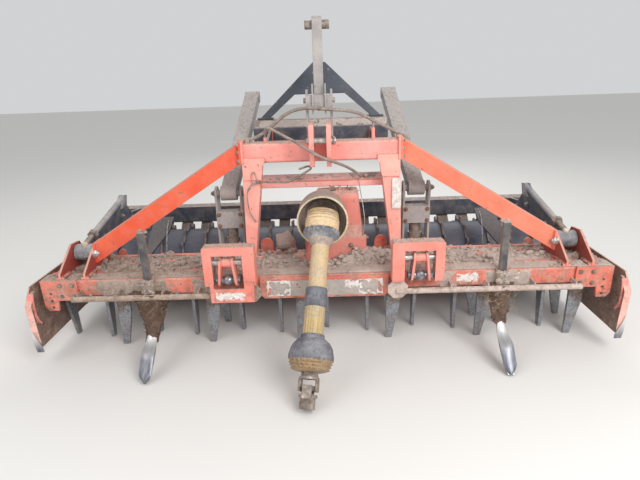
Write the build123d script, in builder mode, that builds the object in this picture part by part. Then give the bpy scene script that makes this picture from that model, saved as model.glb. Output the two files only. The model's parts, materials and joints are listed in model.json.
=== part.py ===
from build123d import *
import os
from math import atan2, cos, degrees, hypot, radians, sin, sqrt, tan

os.makedirs("parts", exist_ok=True)

# Power harrow, 3 m, with its packer roller and the drive shaft hanging from the gearbox.
# +X is the machine's right in front view, -Y the tractor side, z = 0 the tips of the tines.
# Places along Y are measured back from front_y, a plane just behind the lower hitch pins.
front_y = -283

# Rotors and tines
rotor_count = 12
rotor_pitch = 250
tine_radius = 115
tine_length = 262
tine_thickness = 18
tine_top_width = 74
tine_tip_width = 34
tine_trail = 22
holder_thickness = 26
holder_half_width = 44
holder_end_radius = 34
hub_radius = 58
bearing_radius = 76
bearing_height = 20
seat_gap = 0.3

# Trough and cover
trough_depth = 310
trough_height = 120
trough_flange = 20
trough_flange_thickness = 12
trough_corner = 42
trough_length = 2960
cover_thickness = 10
cap_radius = 48
cap_height = 8
rib_width = 26
rib_height = 9

# Front beam, guard bars and track eradicators
beam_depth = 90
beam_height = 95
beam_wall = 8
beam_corner = 16
beam_length = 2960
beam_top = 460
beam_plate = 12
centre_plate_half = 333
centre_plate_bottom = 330
centre_plate_top = 449
centre_plate_corner = 22
end_plate_in = 1290
end_plate_out = 1476
end_plate_bottom = 348
end_plate_lug = 290
end_hole_x = 1432
end_hole_radius = 7
guard_radius = 15
guard_y = front_y - 45
guard_z = 374
guard_in = 365
guard_out = 1300
guard_bracket = 8
guard_end_radius = 50
eradicator_x = 905
shank_width = 36
shank_depth = 24
shank_top = 715
clamp_wall = 10
clamp_height = 72
point_width = 62
leg_thickness = 20

# Headstock
leg_top_out = 424
leg_top_in = 318
leg_foot_out = 440
leg_foot_in = 386
leg_depth = 90
leg_wall = 10
leg_foot_plate = 12
leg_gusset = 8
leg_overlap = 28
top_beam_depth = 100
top_beam_height = 105
top_beam_bottom = 985
top_beam_wall = 8
top_beam_corner = 14
top_beam_x = 425
post_radius = 9
flange_thickness = 12
flange_margin = 12
headstock_y = front_y + 300
cross_bar_bottom = 825
cross_bar_front_top = 860
cross_bar_back_top = 886
cross_bar_depth = 90
cross_bar_half = 400
link_plate_gap = 63
link_plate_thickness = 25
link_pin_radius = 15.875
link_pin_y = front_y + 195
link_pin_z = 1108

# Braces and end brackets
brace_height = 92
brace_width = 60
brace_low_x = 1237
brace_low_y = front_y + 190
brace_low_z = 558
bracket_plate = 12
bracket_gap = 118
bracket_foot = 16
pivot_y = front_y + 215
pivot_z = 538
pivot_radius = 25
pivot_gap = 0.3

# Lower hitch portals and floating clevises
hitch_x = 482.5
hitch_pin_radius = 18.3
hitch_ball_radius = 30
hitch_ball_width = 44
portal_in = 340
portal_out = 598
portal_window_in = 402
portal_window_out = 552
portal_depth = 64
portal_gap = 20
portal_top = 645
portal_window_top = 600
portal_foot = 438
portal_corner = 8
hitch_plate_thickness = 10
hitch_plate_bottom = 352
hitch_plate_top = 426
clevis_rod_radius = 16
clevis_rod_y = front_y - 42
clevis_rod_z = 556
hitch_pin_drop = 96
clevis_plate = 12
clevis_gap = 48
clevis_spread = 32
clevis_sleeve_wall = 9
clevis_width = 32
clevis_pin_end = 10

# Gearbox and its guard
gearbox_left = 105
gearbox_right = 212
gearbox_depth = 138
gearbox_top = 828
gearbox_step = 600
gearbox_corner = 16
gearbox_barrel_radius = 116
gearbox_foot_height = 14
input_z = 715
gearbox_y = front_y + 222
guard_mouth_radius = 129
guard_neck_radius = 92
guard_length = 132
guard_wall = 5
guard_lip = 4
stub_radius = 21
cross_pin_radius = 9
ear_gap = 48
ear_thickness = 12
ear_half_width = 20

# Drive shaft, from the joint at the gearbox to the free end
shaft_joint_y = front_y + 72
shaft_end_x = -84
shaft_end_y = front_y - 462
shaft_end_z = 71.5
upper_tube_radius = 44
lower_tube_radius = 48.5
collar_radius = 53
bellows_radius = 87
bellows_bore = 76
ring_radius = 92
cone_radius = 62
shaft_gap = 0.5
end_cone_radius = 106
free_yoke_radius = 36

# Roller and its frame
roller_y = front_y + 800
roller_radius = 250
drum_radius = 208
drum_length = 2800
drum_wall = 8
ring_count = 20
ring_pitch = 140
ring_thickness = 12
tooth_count = 14
axle_radius = 27
frame_tube = 90
frame_tube_height = 106
frame_y = front_y + 1000
frame_z = 458
frame_plate_x = 1440
frame_plate = 14
arm_thickness = 20
arm_bottom = 522
arm_boss_radius = 46
adjuster_radius = 17
scraper_width = 78
scraper_thickness = 8
scraper_bar = 40
stay_in = 940
stay_out = 1062
stay_thickness = 10

# Side plates
side_x = 1530
side_plate_thickness = 8
side_top = 434
side_bottom = 85
side_flange = 26
strap_radius = 50
strap_width = 18
side_pivot_x = 1508
side_pivot_z = 398
side_pivot_radius = 11
lug_thickness = 10

# Rear lifting linkage
tower_x = 540
tower_y = front_y + 452
tower_width = 156
tower_plate = 12
tower_half_depth = 45
tower_block_bottom = 590
tower_block_top = 690
tower_pin_z = 790
tower_pin_radius = 19
ram_radius = 32
lift_arm_width = 92
lift_arm_thickness = 52
lift_arm_wall = 8
lift_arm_boss = 42
lift_arm_reach = 600
lift_arm_rise = 500
lift_arm_inward = 92
rear_bar_y = front_y + 660
rear_bar_depth = 80
rear_bar_bottom = 1041
rear_bar_edge = 1127
rear_bar_top = 1172
rear_bar_x = 402
apex_y = front_y + 780
apex_z = 1490
a_foot = 368
a_foot_inner = 312
a_window_half = 150
a_window_top = 1312
strut_width = 50
strut_depth = 80
strut_foot_z = 1296
strut_top_z = 1662
strut_y = front_y + 372
strut_sleeve_radius = 22
strut_sleeve_length = 124
lug_x = 58
lug_plate = 12
lug_top = 1352

# Heights and rows that follow from the sizes above
trough_bottom = tine_length + holder_thickness + bearing_height + 2
trough_top = trough_bottom + trough_height
cover_top = trough_top + cover_thickness
beam_front = front_y + 10
beam_back = beam_front + beam_depth
trough_front = beam_back
trough_back = trough_front + trough_depth
rotor_y = trough_front + trough_depth / 2
beam_bottom = beam_top - beam_height
frame_tube_top = frame_z + frame_tube_height
sides = (("left", -1), ("right", 1))


def save(builder, name):
    builder.part.label = name
    export_step(builder.part, "parts/" + name + ".step")


def block(x0, x1, y0, y1, z0, z1, mode=Mode.ADD):
    # A box between two corners, in the open part.
    middle = ((x0 + x1) / 2, (y0 + y1) / 2, (z0 + z1) / 2)
    with Locations(middle):
        Box(abs(x1 - x0), abs(y1 - y0), abs(z1 - z0), mode=mode)


def rod(radius, start, length, axis, mode=Mode.ADD):
    # A round bar from a start point along +X, +Y or +Z, in the open part.
    turns = {"x": (0, 90, 0), "y": (-90, 0, 0), "z": (0, 0, 0)}
    with Locations(Location(start, turns[axis])):
        Cylinder(radius, length, align=(Align.CENTER, Align.CENTER, Align.MIN), mode=mode)


def side_face(x):
    # A drawing plane at one x, with its own x along +Y and its own y along +Z.
    return Plane(origin=(x, 0, 0), x_dir=(0, 1, 0), z_dir=(1, 0, 0))


def front_face(y):
    # A drawing plane at one y, with its own x along +X and its own y along +Z, facing -Y.
    return Plane(origin=(0, y, 0), x_dir=(1, 0, 0), z_dir=(0, -1, 0))


def outline(points):
    # A closed face through the points.
    Polygon(*points, align=None)


def turned(points, plane, mode=Mode.ADD):
    # A body turned about the plane's own y axis, from (radius, place along that axis) pairs.
    with BuildSketch(plane) as profile:
        Polygon(*points, align=None)
    revolve(profile.sketch, axis=Axis(plane.origin, plane.y_dir), mode=mode)


# Trough: a pressed tub with a flange on both long sides and a bearing under each rotor
rotor_xs = [(i - (rotor_count - 1) / 2) * rotor_pitch for i in range(rotor_count)]
tub_front = trough_front + trough_flange
tub_back = trough_back - trough_flange
flange_z = trough_top - trough_flange_thickness
with BuildPart() as trough:
    with BuildSketch(side_face(-trough_length / 2)):
        with BuildLine():
            Line((tub_front, flange_z), (tub_front, trough_bottom + trough_corner))
            RadiusArc(
                (tub_front, trough_bottom + trough_corner),
                (tub_front + trough_corner, trough_bottom), -trough_corner)
            Line((tub_front + trough_corner, trough_bottom), (tub_back - trough_corner, trough_bottom))
            RadiusArc(
                (tub_back - trough_corner, trough_bottom),
                (tub_back, trough_bottom + trough_corner), -trough_corner)
            Polyline(
                (tub_back, trough_bottom + trough_corner), (tub_back, flange_z), (trough_back, flange_z),
                (trough_back, trough_top), (trough_front, trough_top), (trough_front, flange_z),
                (tub_front, flange_z))
        make_face()
    extrude(amount=trough_length)
    for x in rotor_xs:
        rod(bearing_radius, (x, rotor_y, trough_bottom - bearing_height), bearing_height, "z")
save(trough, "trough")

# Cover with two raised ribs along it and a bearing cap over each rotor
rib_rows = (trough_front + 34, trough_back - 34)
# Rounded ears along the cover's back edge: place along X, half width, height
ears = ((-1200, 22, 42), (-335, 37, 84), (335, 37, 84), (1200, 22, 42))
ear_thickness = 12
with BuildPart() as trough_cover:
    block(-trough_length / 2, trough_length / 2, trough_front, trough_back, trough_top, cover_top)
    for y in rib_rows:
        block(
            -trough_length / 2, trough_length / 2, y - rib_width / 2, y + rib_width / 2,
            cover_top, cover_top + rib_height)
    for x in rotor_xs:
        if abs(x) > gearbox_right + cap_radius:
            rod(cap_radius, (x, rotor_y, cover_top), cap_height, "z")
    for x, half, height in ears:
        block(
            x - half, x + half, trough_back - ear_thickness, trough_back, cover_top,
            cover_top + height - half)
        rod(half, (x, trough_back - ear_thickness, cover_top + height - half), ear_thickness, "y")
save(trough_cover, "trough_cover")

# Rotors: a hub, an oblong holder and two knife tines, each rotor a quarter turn from the next
holder_top = tine_length + holder_thickness
for i, x in enumerate(rotor_xs):
    turn = 90 * (i % 2)
    with BuildPart() as rotor:
        hub_height = trough_bottom - bearing_height - tine_length - seat_gap
        rod(hub_radius, (x, rotor_y, tine_length), hub_height, "z")
        with BuildSketch(Plane.XY.offset(tine_length)):
            with Locations(Location((x, rotor_y, 0), (0, 0, turn))):
                SlotOverall(2 * (tine_radius + holder_end_radius), 2 * holder_half_width)
        extrude(amount=holder_thickness)
        for side in (-1, 1):
            angle = radians(turn)
            along = (cos(angle) * side, sin(angle) * side)
            middle = (x + tine_radius * along[0], rotor_y + tine_radius * along[1])
            blade = Plane(origin=(*middle, 0), x_dir=(-along[1], along[0], 0), z_dir=(*along, 0))
            with BuildSketch(blade.offset(-tine_thickness / 2)):
                outline([
                    (-tine_top_width / 2, tine_length), (tine_top_width / 2, tine_length),
                    (tine_top_width / 2, tine_length - 60), (tine_tip_width / 2 - tine_trail, 0),
                    (-tine_tip_width / 2 - tine_trail, 0), (-tine_top_width / 2, tine_length - 90)])
            extrude(amount=tine_thickness)
    save(rotor, "rotor_%02d" % (i + 1))

# Front beam: a closed tube along the whole front, with a centre plate and drilled end plates on its face
end_holes = (388, 347, 310)
with BuildPart() as front_beam:
    with BuildSketch(side_face(-beam_length / 2)):
        with Locations((beam_front + beam_depth / 2, beam_top - beam_height / 2)):
            RectangleRounded(beam_depth, beam_height, beam_corner)
            Rectangle(beam_depth - 2 * beam_wall, beam_height - 2 * beam_wall, mode=Mode.SUBTRACT)
    extrude(amount=beam_length)
    for end in (-1, 1):
        x = end * beam_length / 2
        block(
            x, x - end * beam_wall, beam_front + beam_wall, beam_back - beam_wall,
            beam_bottom + beam_wall, beam_top - beam_wall)
    with BuildSketch(front_face(beam_front)):
        half = centre_plate_half
        outline([
            (-half, centre_plate_bottom + centre_plate_corner),
            (-half + centre_plate_corner, centre_plate_bottom),
            (half - centre_plate_corner, centre_plate_bottom),
            (half, centre_plate_bottom + centre_plate_corner), (half, centre_plate_top),
            (-half, centre_plate_top)])
        for side in (-1, 1):
            outline([
                (side * end_plate_in, end_plate_bottom), (side * (end_hole_x - 34), end_plate_bottom),
                (side * (end_hole_x - 26), end_plate_lug), (side * (end_hole_x + 26), end_plate_lug),
                (side * end_plate_out, end_plate_lug + 24), (side * end_plate_out, beam_top + 2),
                (side * end_plate_in, beam_top + 2)])
            for z in end_holes:
                with Locations((side * end_hole_x, z)):
                    Circle(end_hole_radius, mode=Mode.SUBTRACT)
    extrude(amount=beam_plate)
save(front_beam, "front_beam")

# Guard bars in front of the beam, each on brackets, with an eight-sided plate at the inner end
for name, side in sides:
    with BuildPart() as guard_bar:
        start = min(side * guard_in, side * guard_out)
        rod(guard_radius, (start, guard_y, guard_z), guard_out - guard_in, "x")
        for share in (0.3, 0.5, 0.75, 0.97):
            x = side * (guard_in + share * (guard_out - guard_in))
            block(
                x - guard_bracket / 2, x + guard_bracket / 2, guard_y, beam_front, guard_z,
                beam_bottom + 36)
        plate_x = side * (guard_in + guard_bracket)
        with BuildSketch(front_face(guard_y + guard_bracket / 2)):
            with Locations((plate_x, guard_z + 12)):
                RegularPolygon(guard_end_radius, 8, major_radius=False, rotation=22.5)
        extrude(amount=guard_bracket)
        block(
            plate_x - 20, plate_x + 20, guard_y, beam_front, beam_bottom + 20, beam_bottom + 36)
    save(guard_bar, "guard_bar_" + name)

# Track eradicators: a clamp on the beam, a straight shank and a curved leg with a pointed share
shank_front = beam_front - clamp_wall - shank_depth
clamp_bottom = beam_bottom + 24
for name, side in sides:
    x = side * eradicator_x
    with BuildPart() as clamp:
        block(
            x - shank_width / 2 - clamp_wall, x + shank_width / 2 + clamp_wall,
            shank_front - clamp_wall, beam_front, clamp_bottom, clamp_bottom + clamp_height)
        block(
            x - shank_width / 2, x + shank_width / 2, shank_front, shank_front + shank_depth,
            clamp_bottom, clamp_bottom + clamp_height, mode=Mode.SUBTRACT)
    save(clamp, "eradicator_clamp_" + name)
    with BuildPart() as eradicator:
        block(
            x - shank_width / 2, x + shank_width / 2, shank_front, shank_front + shank_depth,
            clamp_bottom - 20, shank_top)
        with BuildSketch(side_face(x - shank_width / 2)):
            with BuildLine():
                knee = (shank_front + shank_depth, clamp_bottom - 20)
                Polyline(knee, (shank_front, clamp_bottom - 20))
                ThreePointArc(
                    (shank_front, clamp_bottom - 20), (front_y - 62, 190), (front_y - 236, 34))
                Polyline((front_y - 236, 34), (front_y - 262, 8), (front_y - 236, 12))
                ThreePointArc((front_y - 236, 12), (front_y - 42, 180), knee)
            make_face()
        extrude(amount=shank_width)
        share_plane = Plane(origin=(x, front_y - 236, 30), x_dir=(1, 0, 0), z_dir=(0, -0.75, 0.66))
        with BuildSketch(share_plane):
            outline([
                (-point_width / 2, 120), (point_width / 2, 120), (point_width / 2, 40), (0, -26),
                (-point_width / 2, 40)])
        extrude(amount=8)
    save(eradicator, "eradicator_" + name)

# Headstock: two tapered channel legs, the top beam with end flanges, and a second bar behind
headstock_back = headstock_y + leg_depth
leg_foot_top = cover_top + rib_height + leg_foot_plate
for name, side in sides:
    with BuildPart() as leg:
        for inset, mode in ((0, Mode.ADD), (leg_wall, Mode.SUBTRACT)):
            with BuildSketch(front_face(headstock_back)):
                outline([
                    (side * (leg_foot_in + inset), leg_foot_top),
                    (side * (leg_foot_out - inset), leg_foot_top),
                    (side * (leg_top_out - inset), top_beam_bottom),
                    (side * (leg_top_in + inset), top_beam_bottom)])
            extrude(amount=leg_depth - inset, mode=mode)
        with BuildSketch(front_face(headstock_y)):
            outline([
                (side * leg_top_out, top_beam_bottom - 90), (side * leg_top_out, top_beam_bottom),
                (side * (top_beam_x - flange_thickness), top_beam_bottom),
                (side * (top_beam_x - flange_thickness), top_beam_bottom + leg_overlap),
                (side * (leg_top_in - 16), top_beam_bottom + leg_overlap),
                (side * (leg_top_in - 16), top_beam_bottom),
                (side * (leg_top_in - 4), top_beam_bottom - 14),
                (side * (leg_top_in + 8), top_beam_bottom - 90)])
        extrude(amount=leg_gusset)
        middle = side * (leg_foot_in + leg_foot_out) / 2
        block(
            middle - side * 62, middle + side * 46, headstock_y - 24, rib_rows[1] + rib_width / 2,
            cover_top + rib_height, leg_foot_top)
        block(
            middle - side * 62, middle + side * 46, rotor_y + cap_radius + 2, rib_rows[1] - rib_width / 2,
            cover_top, cover_top + rib_height)
    save(leg, "headstock_leg_" + name)

top_beam_top = top_beam_bottom + top_beam_height
# Hose posts on the top beam: place along X, height
posts = ((-297, 26), (283, 60))
with BuildPart() as top_beam:
    tube_x = top_beam_x - flange_thickness
    with BuildSketch(side_face(-tube_x)):
        with Locations((headstock_y + top_beam_depth / 2, top_beam_bottom + top_beam_height / 2)):
            RectangleRounded(top_beam_depth, top_beam_height, top_beam_corner)
            Rectangle(
                top_beam_depth - 2 * top_beam_wall, top_beam_height - 2 * top_beam_wall, mode=Mode.SUBTRACT)
    extrude(amount=2 * tube_x)
    for _, side in sides:
        block(
            side * tube_x, side * top_beam_x, headstock_y - flange_margin,
            headstock_y + top_beam_depth, top_beam_bottom, top_beam_top + flange_margin)
    for x, height in posts:
        rod(
            post_radius, (x, headstock_y + 45, top_beam_top - top_beam_wall / 2),
            height + top_beam_wall / 2, "z")
save(top_beam, "top_beam")

with BuildPart() as cross_bar:
    with BuildSketch(side_face(-cross_bar_half)):
        outline([
            (headstock_back, cross_bar_bottom), (headstock_back, cross_bar_front_top),
            (headstock_back + cross_bar_depth, cross_bar_back_top),
            (headstock_back + cross_bar_depth, cross_bar_bottom)])
    extrude(amount=2 * cross_bar_half)
save(cross_bar, "cross_bar")

# Top link bracket: two plates on the front of the top beam, and the pin between them
with BuildPart() as top_link_bracket:
    for side in (-1, 1):
        x = side * (link_plate_gap / 2 + link_plate_thickness / 2)
        with BuildSketch(side_face(x - link_plate_thickness / 2)):
            outline([
                (headstock_y, top_beam_bottom - 12), (headstock_y, top_beam_top),
                (headstock_y + 70, top_beam_top), (headstock_y + 60, top_beam_top + 60),
                (link_pin_y + 20, link_pin_z + 98), (link_pin_y - 30, link_pin_z + 84),
                (link_pin_y - 44, link_pin_z - 30), (link_pin_y + 10, top_beam_bottom - 12)])
            with Locations((link_pin_y, link_pin_z)):
                Circle(link_pin_radius + seat_gap, mode=Mode.SUBTRACT)
        extrude(amount=link_plate_thickness)
save(top_link_bracket, "top_link_bracket")

link_outer = link_plate_gap / 2 + link_plate_thickness
with BuildPart() as top_link_pin:
    rod(link_pin_radius, (-link_outer - 12, link_pin_y, link_pin_z), 2 * link_outer + 36, "x")
    rod(link_pin_radius + 7, (link_outer + 10, link_pin_y, link_pin_z), 7, "x")
save(top_link_pin, "top_link_pin")

# Braces: box tubes from the top beam's flanges down to the end brackets
brace_high = (top_beam_x + flange_thickness, headstock_y + top_beam_depth / 2 - flange_margin / 2, 1040)
brace_low = (brace_low_x - flange_thickness, brace_low_y, brace_low_z)
brace_middle_z = (brace_high[2] + brace_low[2]) / 2
for name, side in sides:
    high = Vector(side * brace_high[0], brace_high[1], brace_high[2])
    low = Vector(side * brace_low[0], brace_low[1], brace_low[2])
    run = (low - high).normalized()
    with BuildPart() as brace:
        with BuildSketch(Plane(origin=high - run * 80, x_dir=Vector(0, 0, 1).cross(run), z_dir=run)):
            Rectangle(brace_width, brace_height)
            Rectangle(brace_width - 12, brace_height - 12, mode=Mode.SUBTRACT)
        extrude(amount=(low - high).length + 160)
        block(
            side * brace_high[0], side * (brace_high[0] - 200), -2000, 2000, 0, 2000,
            mode=Mode.SUBTRACT)
        block(
            side * brace_low[0], side * (brace_low[0] + 200), -2000, 2000, 0, 2000,
            mode=Mode.SUBTRACT)
        block(
            side * top_beam_x, side * brace_high[0], headstock_y - flange_margin,
            headstock_y + top_beam_depth, top_beam_bottom, top_beam_top + flange_margin)
        block(
            side * brace_low[0], side * brace_low_x, brace_low_y - 46, brace_low_y + 46,
            brace_low_z - 58, brace_low_z + 52)
    save(brace, "brace_" + name)

# End brackets: two upright plates on beam and trough, joined by the roller arm's pivot pin
plate_outline = [
    (beam_front + 2, beam_top), (beam_back, beam_top), (beam_back, cover_top + rib_height),
    (rotor_y + 60, cover_top + rib_height), (rotor_y + 64, cover_top + rib_height + 40),
    (pivot_y + 50, pivot_z + 52), (pivot_y - 40, pivot_z + 62), (beam_front + 2, beam_top + 30)]
outer_plate_x = brace_low_x + bracket_plate + bracket_gap
for name, side in sides:
    with BuildPart() as end_bracket:
        for x in (brace_low_x, outer_plate_x):
            with BuildSketch(side_face(min(side * x, side * (x + bracket_plate)))):
                outline(plate_outline)
            extrude(amount=bracket_plate)
            block(
                side * (x - bracket_foot), side * (x + bracket_plate + bracket_foot), beam_front + 4,
                beam_back, beam_top, beam_top + 10)
        rod(
            pivot_radius,
            (min(side * brace_low_x, side * (outer_plate_x + bracket_plate + 22)), pivot_y, pivot_z),
            outer_plate_x + bracket_plate + 22 - brace_low_x, "x")
    save(end_bracket, "end_bracket_" + name)

# Hitch portals: inverted U frames standing off the beam's front, with a rod across each window
portal_back = beam_front - portal_gap
portal_front = portal_back - portal_depth
clevis_outer = clevis_gap / 2 + clevis_plate
pin_half = clevis_outer + clevis_spread / 2 + clevis_pin_end
for name, side in sides:
    with BuildPart() as portal:
        with BuildSketch(front_face(portal_back)):
            outline([
                (side * portal_in, portal_foot), (side * portal_in, portal_top - portal_corner),
                (side * (portal_in + portal_corner), portal_top),
                (side * (portal_out - portal_corner), portal_top),
                (side * portal_out, portal_top - portal_corner), (side * portal_out, portal_foot),
                (side * portal_window_out, portal_foot), (side * portal_window_out, portal_window_top),
                (side * portal_window_in, portal_window_top), (side * portal_window_in, portal_foot)])
        extrude(amount=portal_depth)
        for inner, outer in ((portal_in, portal_window_in), (portal_window_out, portal_out)):
            block(side * inner, side * outer, portal_back, beam_front, portal_foot, beam_top)
        rod(
            clevis_rod_radius,
            (min(side * portal_window_in, side * portal_window_out), clevis_rod_y, clevis_rod_z),
            portal_window_out - portal_window_in, "x")
        if side < 0:
            with BuildSketch(front_face(portal_front)):
                outline([
                    (side * (portal_in + 10), hitch_plate_bottom),
                    (side * (portal_window_out + 20), hitch_plate_bottom),
                    (side * (portal_window_out + 20), beam_top), (side * (portal_window_out + 2), beam_top),
                    (side * (portal_window_out + 2), hitch_plate_top),
                    (side * (portal_window_in - 2), hitch_plate_top),
                    (side * (portal_window_in - 2), beam_top),
                    (side * (portal_in + 10), beam_top)])
            extrude(amount=hitch_plate_thickness)
    save(portal, "hitch_portal_" + name)
    x = side * hitch_x
    hitch_z = clevis_rod_z - hitch_pin_drop
    with BuildPart() as clevis:
        with BuildSketch(front_face(clevis_rod_y + clevis_width + 8)):
            for end in (-1, 1):
                inner = clevis_gap / 2
                low = hitch_z - clevis_width - 6
                high = clevis_rod_z + clevis_width + 6
                outline([
                    (x + end * (inner + clevis_spread / 2), low),
                    (x + end * (clevis_outer + clevis_spread / 2), low),
                    (x + end * (clevis_outer - 2), high), (x + end * (inner - 2), high)])
        extrude(amount=2 * clevis_width + 16)
        with BuildSketch(side_face(x - pin_half)):
            with Locations((clevis_rod_y, clevis_rod_z - hitch_pin_drop / 2)):
                SlotCenterToCenter(hitch_pin_drop, 2 * clevis_width, rotation=90)
        extrude(amount=2 * pin_half, mode=Mode.INTERSECT)
        rod(
            clevis_rod_radius + clevis_sleeve_wall, (x - clevis_outer, clevis_rod_y, clevis_rod_z),
            2 * clevis_outer, "x")
        rod(
            clevis_rod_radius + pivot_gap, (x - pin_half, clevis_rod_y, clevis_rod_z), 2 * pin_half, "x",
            mode=Mode.SUBTRACT)
        rod(hitch_pin_radius, (x - pin_half, clevis_rod_y, hitch_z), 2 * pin_half, "x")
        half = hitch_ball_width / 2
        rim = sqrt(hitch_ball_radius ** 2 - half ** 2)
        ball_plane = Plane(origin=(x, clevis_rod_y, hitch_z), x_dir=(0, 0, 1), z_dir=(0, 1, 0))
        with BuildSketch(ball_plane) as ball:
            with BuildLine():
                Line((0, -half), (rim, -half))
                ThreePointArc((rim, -half), (hitch_ball_radius, 0), (rim, half))
                Polyline((rim, half), (0, half), (0, -half))
            make_face()
        revolve(ball.sketch, axis=Axis((x, clevis_rod_y, hitch_z), (1, 0, 0)))
    save(clevis, "hitch_clevis_" + name)

# Gearbox: a cast housing with a stepped front on a bolted foot, and a round barrel for the input shaft
gearbox_back = gearbox_y + gearbox_depth
housing_front = gearbox_y + 34
with BuildPart() as gearbox:
    with BuildSketch(side_face(-gearbox_left)):
        with BuildLine():
            Polyline(
                (gearbox_back, cover_top + gearbox_foot_height),
                (gearbox_y - 20, cover_top + gearbox_foot_height),
                (gearbox_y - 20, gearbox_step - 18), (housing_front, gearbox_step + 36),
                (housing_front, gearbox_top - 46))
            ThreePointArc(
                (housing_front, gearbox_top - 46), (housing_front + 14, gearbox_top - 14),
                (housing_front + 46, gearbox_top))
            Polyline(
                (housing_front + 46, gearbox_top), (gearbox_back, gearbox_top),
                (gearbox_back, cover_top + gearbox_foot_height))
        make_face()
    extrude(amount=gearbox_left + gearbox_right)
    fillet(gearbox.edges().filter_by(Axis.Z), gearbox_corner)
    rod(gearbox_barrel_radius, (0, gearbox_y, input_z), 96, "y")
    for x in (40, 92, 144):
        block(x, x + 10, housing_front + 40, gearbox_back, gearbox_top - 4, gearbox_top + 12)
    block(
        -gearbox_left - 12, gearbox_right + 12, gearbox_y - 30, gearbox_back, cover_top,
        cover_top + gearbox_foot_height)
    rod(guard_neck_radius - guard_wall, (0, gearbox_y - 16, input_z), 16, "y")
    rod(stub_radius + 16, (0, gearbox_y - 44, input_z), 28, "y")
    rod(stub_radius, (0, shaft_joint_y + 52, input_z), gearbox_y - 44 - shaft_joint_y - 52, "y")
save(gearbox, "gearbox")

guard_front = gearbox_y - guard_length
with BuildPart() as input_guard:
    turned([
        (guard_neck_radius, 0), (guard_neck_radius + 3, 14), (guard_mouth_radius - 2, guard_length - 34),
        (guard_mouth_radius, guard_length - 8), (guard_mouth_radius + guard_lip, guard_length - 4),
        (guard_mouth_radius + guard_lip, guard_length), (guard_mouth_radius - guard_wall, guard_length),
        (guard_mouth_radius - guard_wall - 2, guard_length - 32), (guard_neck_radius + 3 - guard_wall, 14),
        (guard_neck_radius - guard_wall, 0)],
        Plane(origin=(0, gearbox_y, input_z), x_dir=(1, 0, 0), z_dir=(0, 0, 1)).rotated((0, 0, 180)))
save(input_guard, "input_guard")

# Drive shaft: joint, guard cones with bellows, two telescoping guard tubes, and the free yoke
joint_centre = Vector(0, shaft_joint_y, input_z)
shaft_end = Vector(shaft_end_x, shaft_end_y, shaft_end_z)
shaft_run = (shaft_end - joint_centre).normalized()
shaft_length = (shaft_end - joint_centre).length
shaft_side = shaft_run.cross(Vector(0, 0, 1)).normalized()
shaft_plane = Plane(origin=joint_centre, x_dir=shaft_side, z_dir=shaft_side.cross(shaft_run))
print("shaft length", round(shaft_length, 1), "run", shaft_run, "side", shaft_side)

ear_outer = ear_gap / 2 + ear_thickness
with BuildPart() as input_yoke:
    rod(stub_radius + 12, (0, shaft_joint_y + 30, input_z), 22, "y")
    for side in (-1, 1):
        block(
            side * ear_gap / 2, side * ear_outer, shaft_joint_y - 14, shaft_joint_y + 34,
            input_z - ear_half_width, input_z + ear_half_width)
    rod(
        cross_pin_radius + pivot_gap, (-ear_outer - 1, shaft_joint_y, input_z), 2 * ear_outer + 2, "x",
        mode=Mode.SUBTRACT)
save(input_yoke, "input_yoke")

# Folds of the bellows at the gearbox end: place along the shaft, each fold a valley and a crest
bellows_folds = [(-14 + 16 * i, -6 + 16 * i) for i in range(4)]
with BuildPart() as shaft_outer:
    with Locations(joint_centre):
        Sphere(17)
    rod(cross_pin_radius, (-ear_outer, shaft_joint_y, input_z), 2 * ear_outer, "x")
    turned([(0, 12), (14, 12), (14, 110), (0, 110)], shaft_plane)
    outer_skin = [(bellows_bore, -22), (bellows_radius - 4, -22)]
    for valley, crest in bellows_folds:
        outer_skin += [(bellows_radius - 6, valley), (bellows_radius, crest)]
    outer_skin += [
        (bellows_radius - 6, 50), (ring_radius, 52), (ring_radius, 74), (ring_radius - 8, 78),
        (cone_radius + 3, 96), (cone_radius - 4, 112), (upper_tube_radius + 3, 126),
        (upper_tube_radius, 132),
        (upper_tube_radius, 500), (0, 500), (0, 104), (38, 104), (bellows_bore, 66)]
    turned(outer_skin, shaft_plane)
save(shaft_outer, "shaft_outer")

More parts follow.
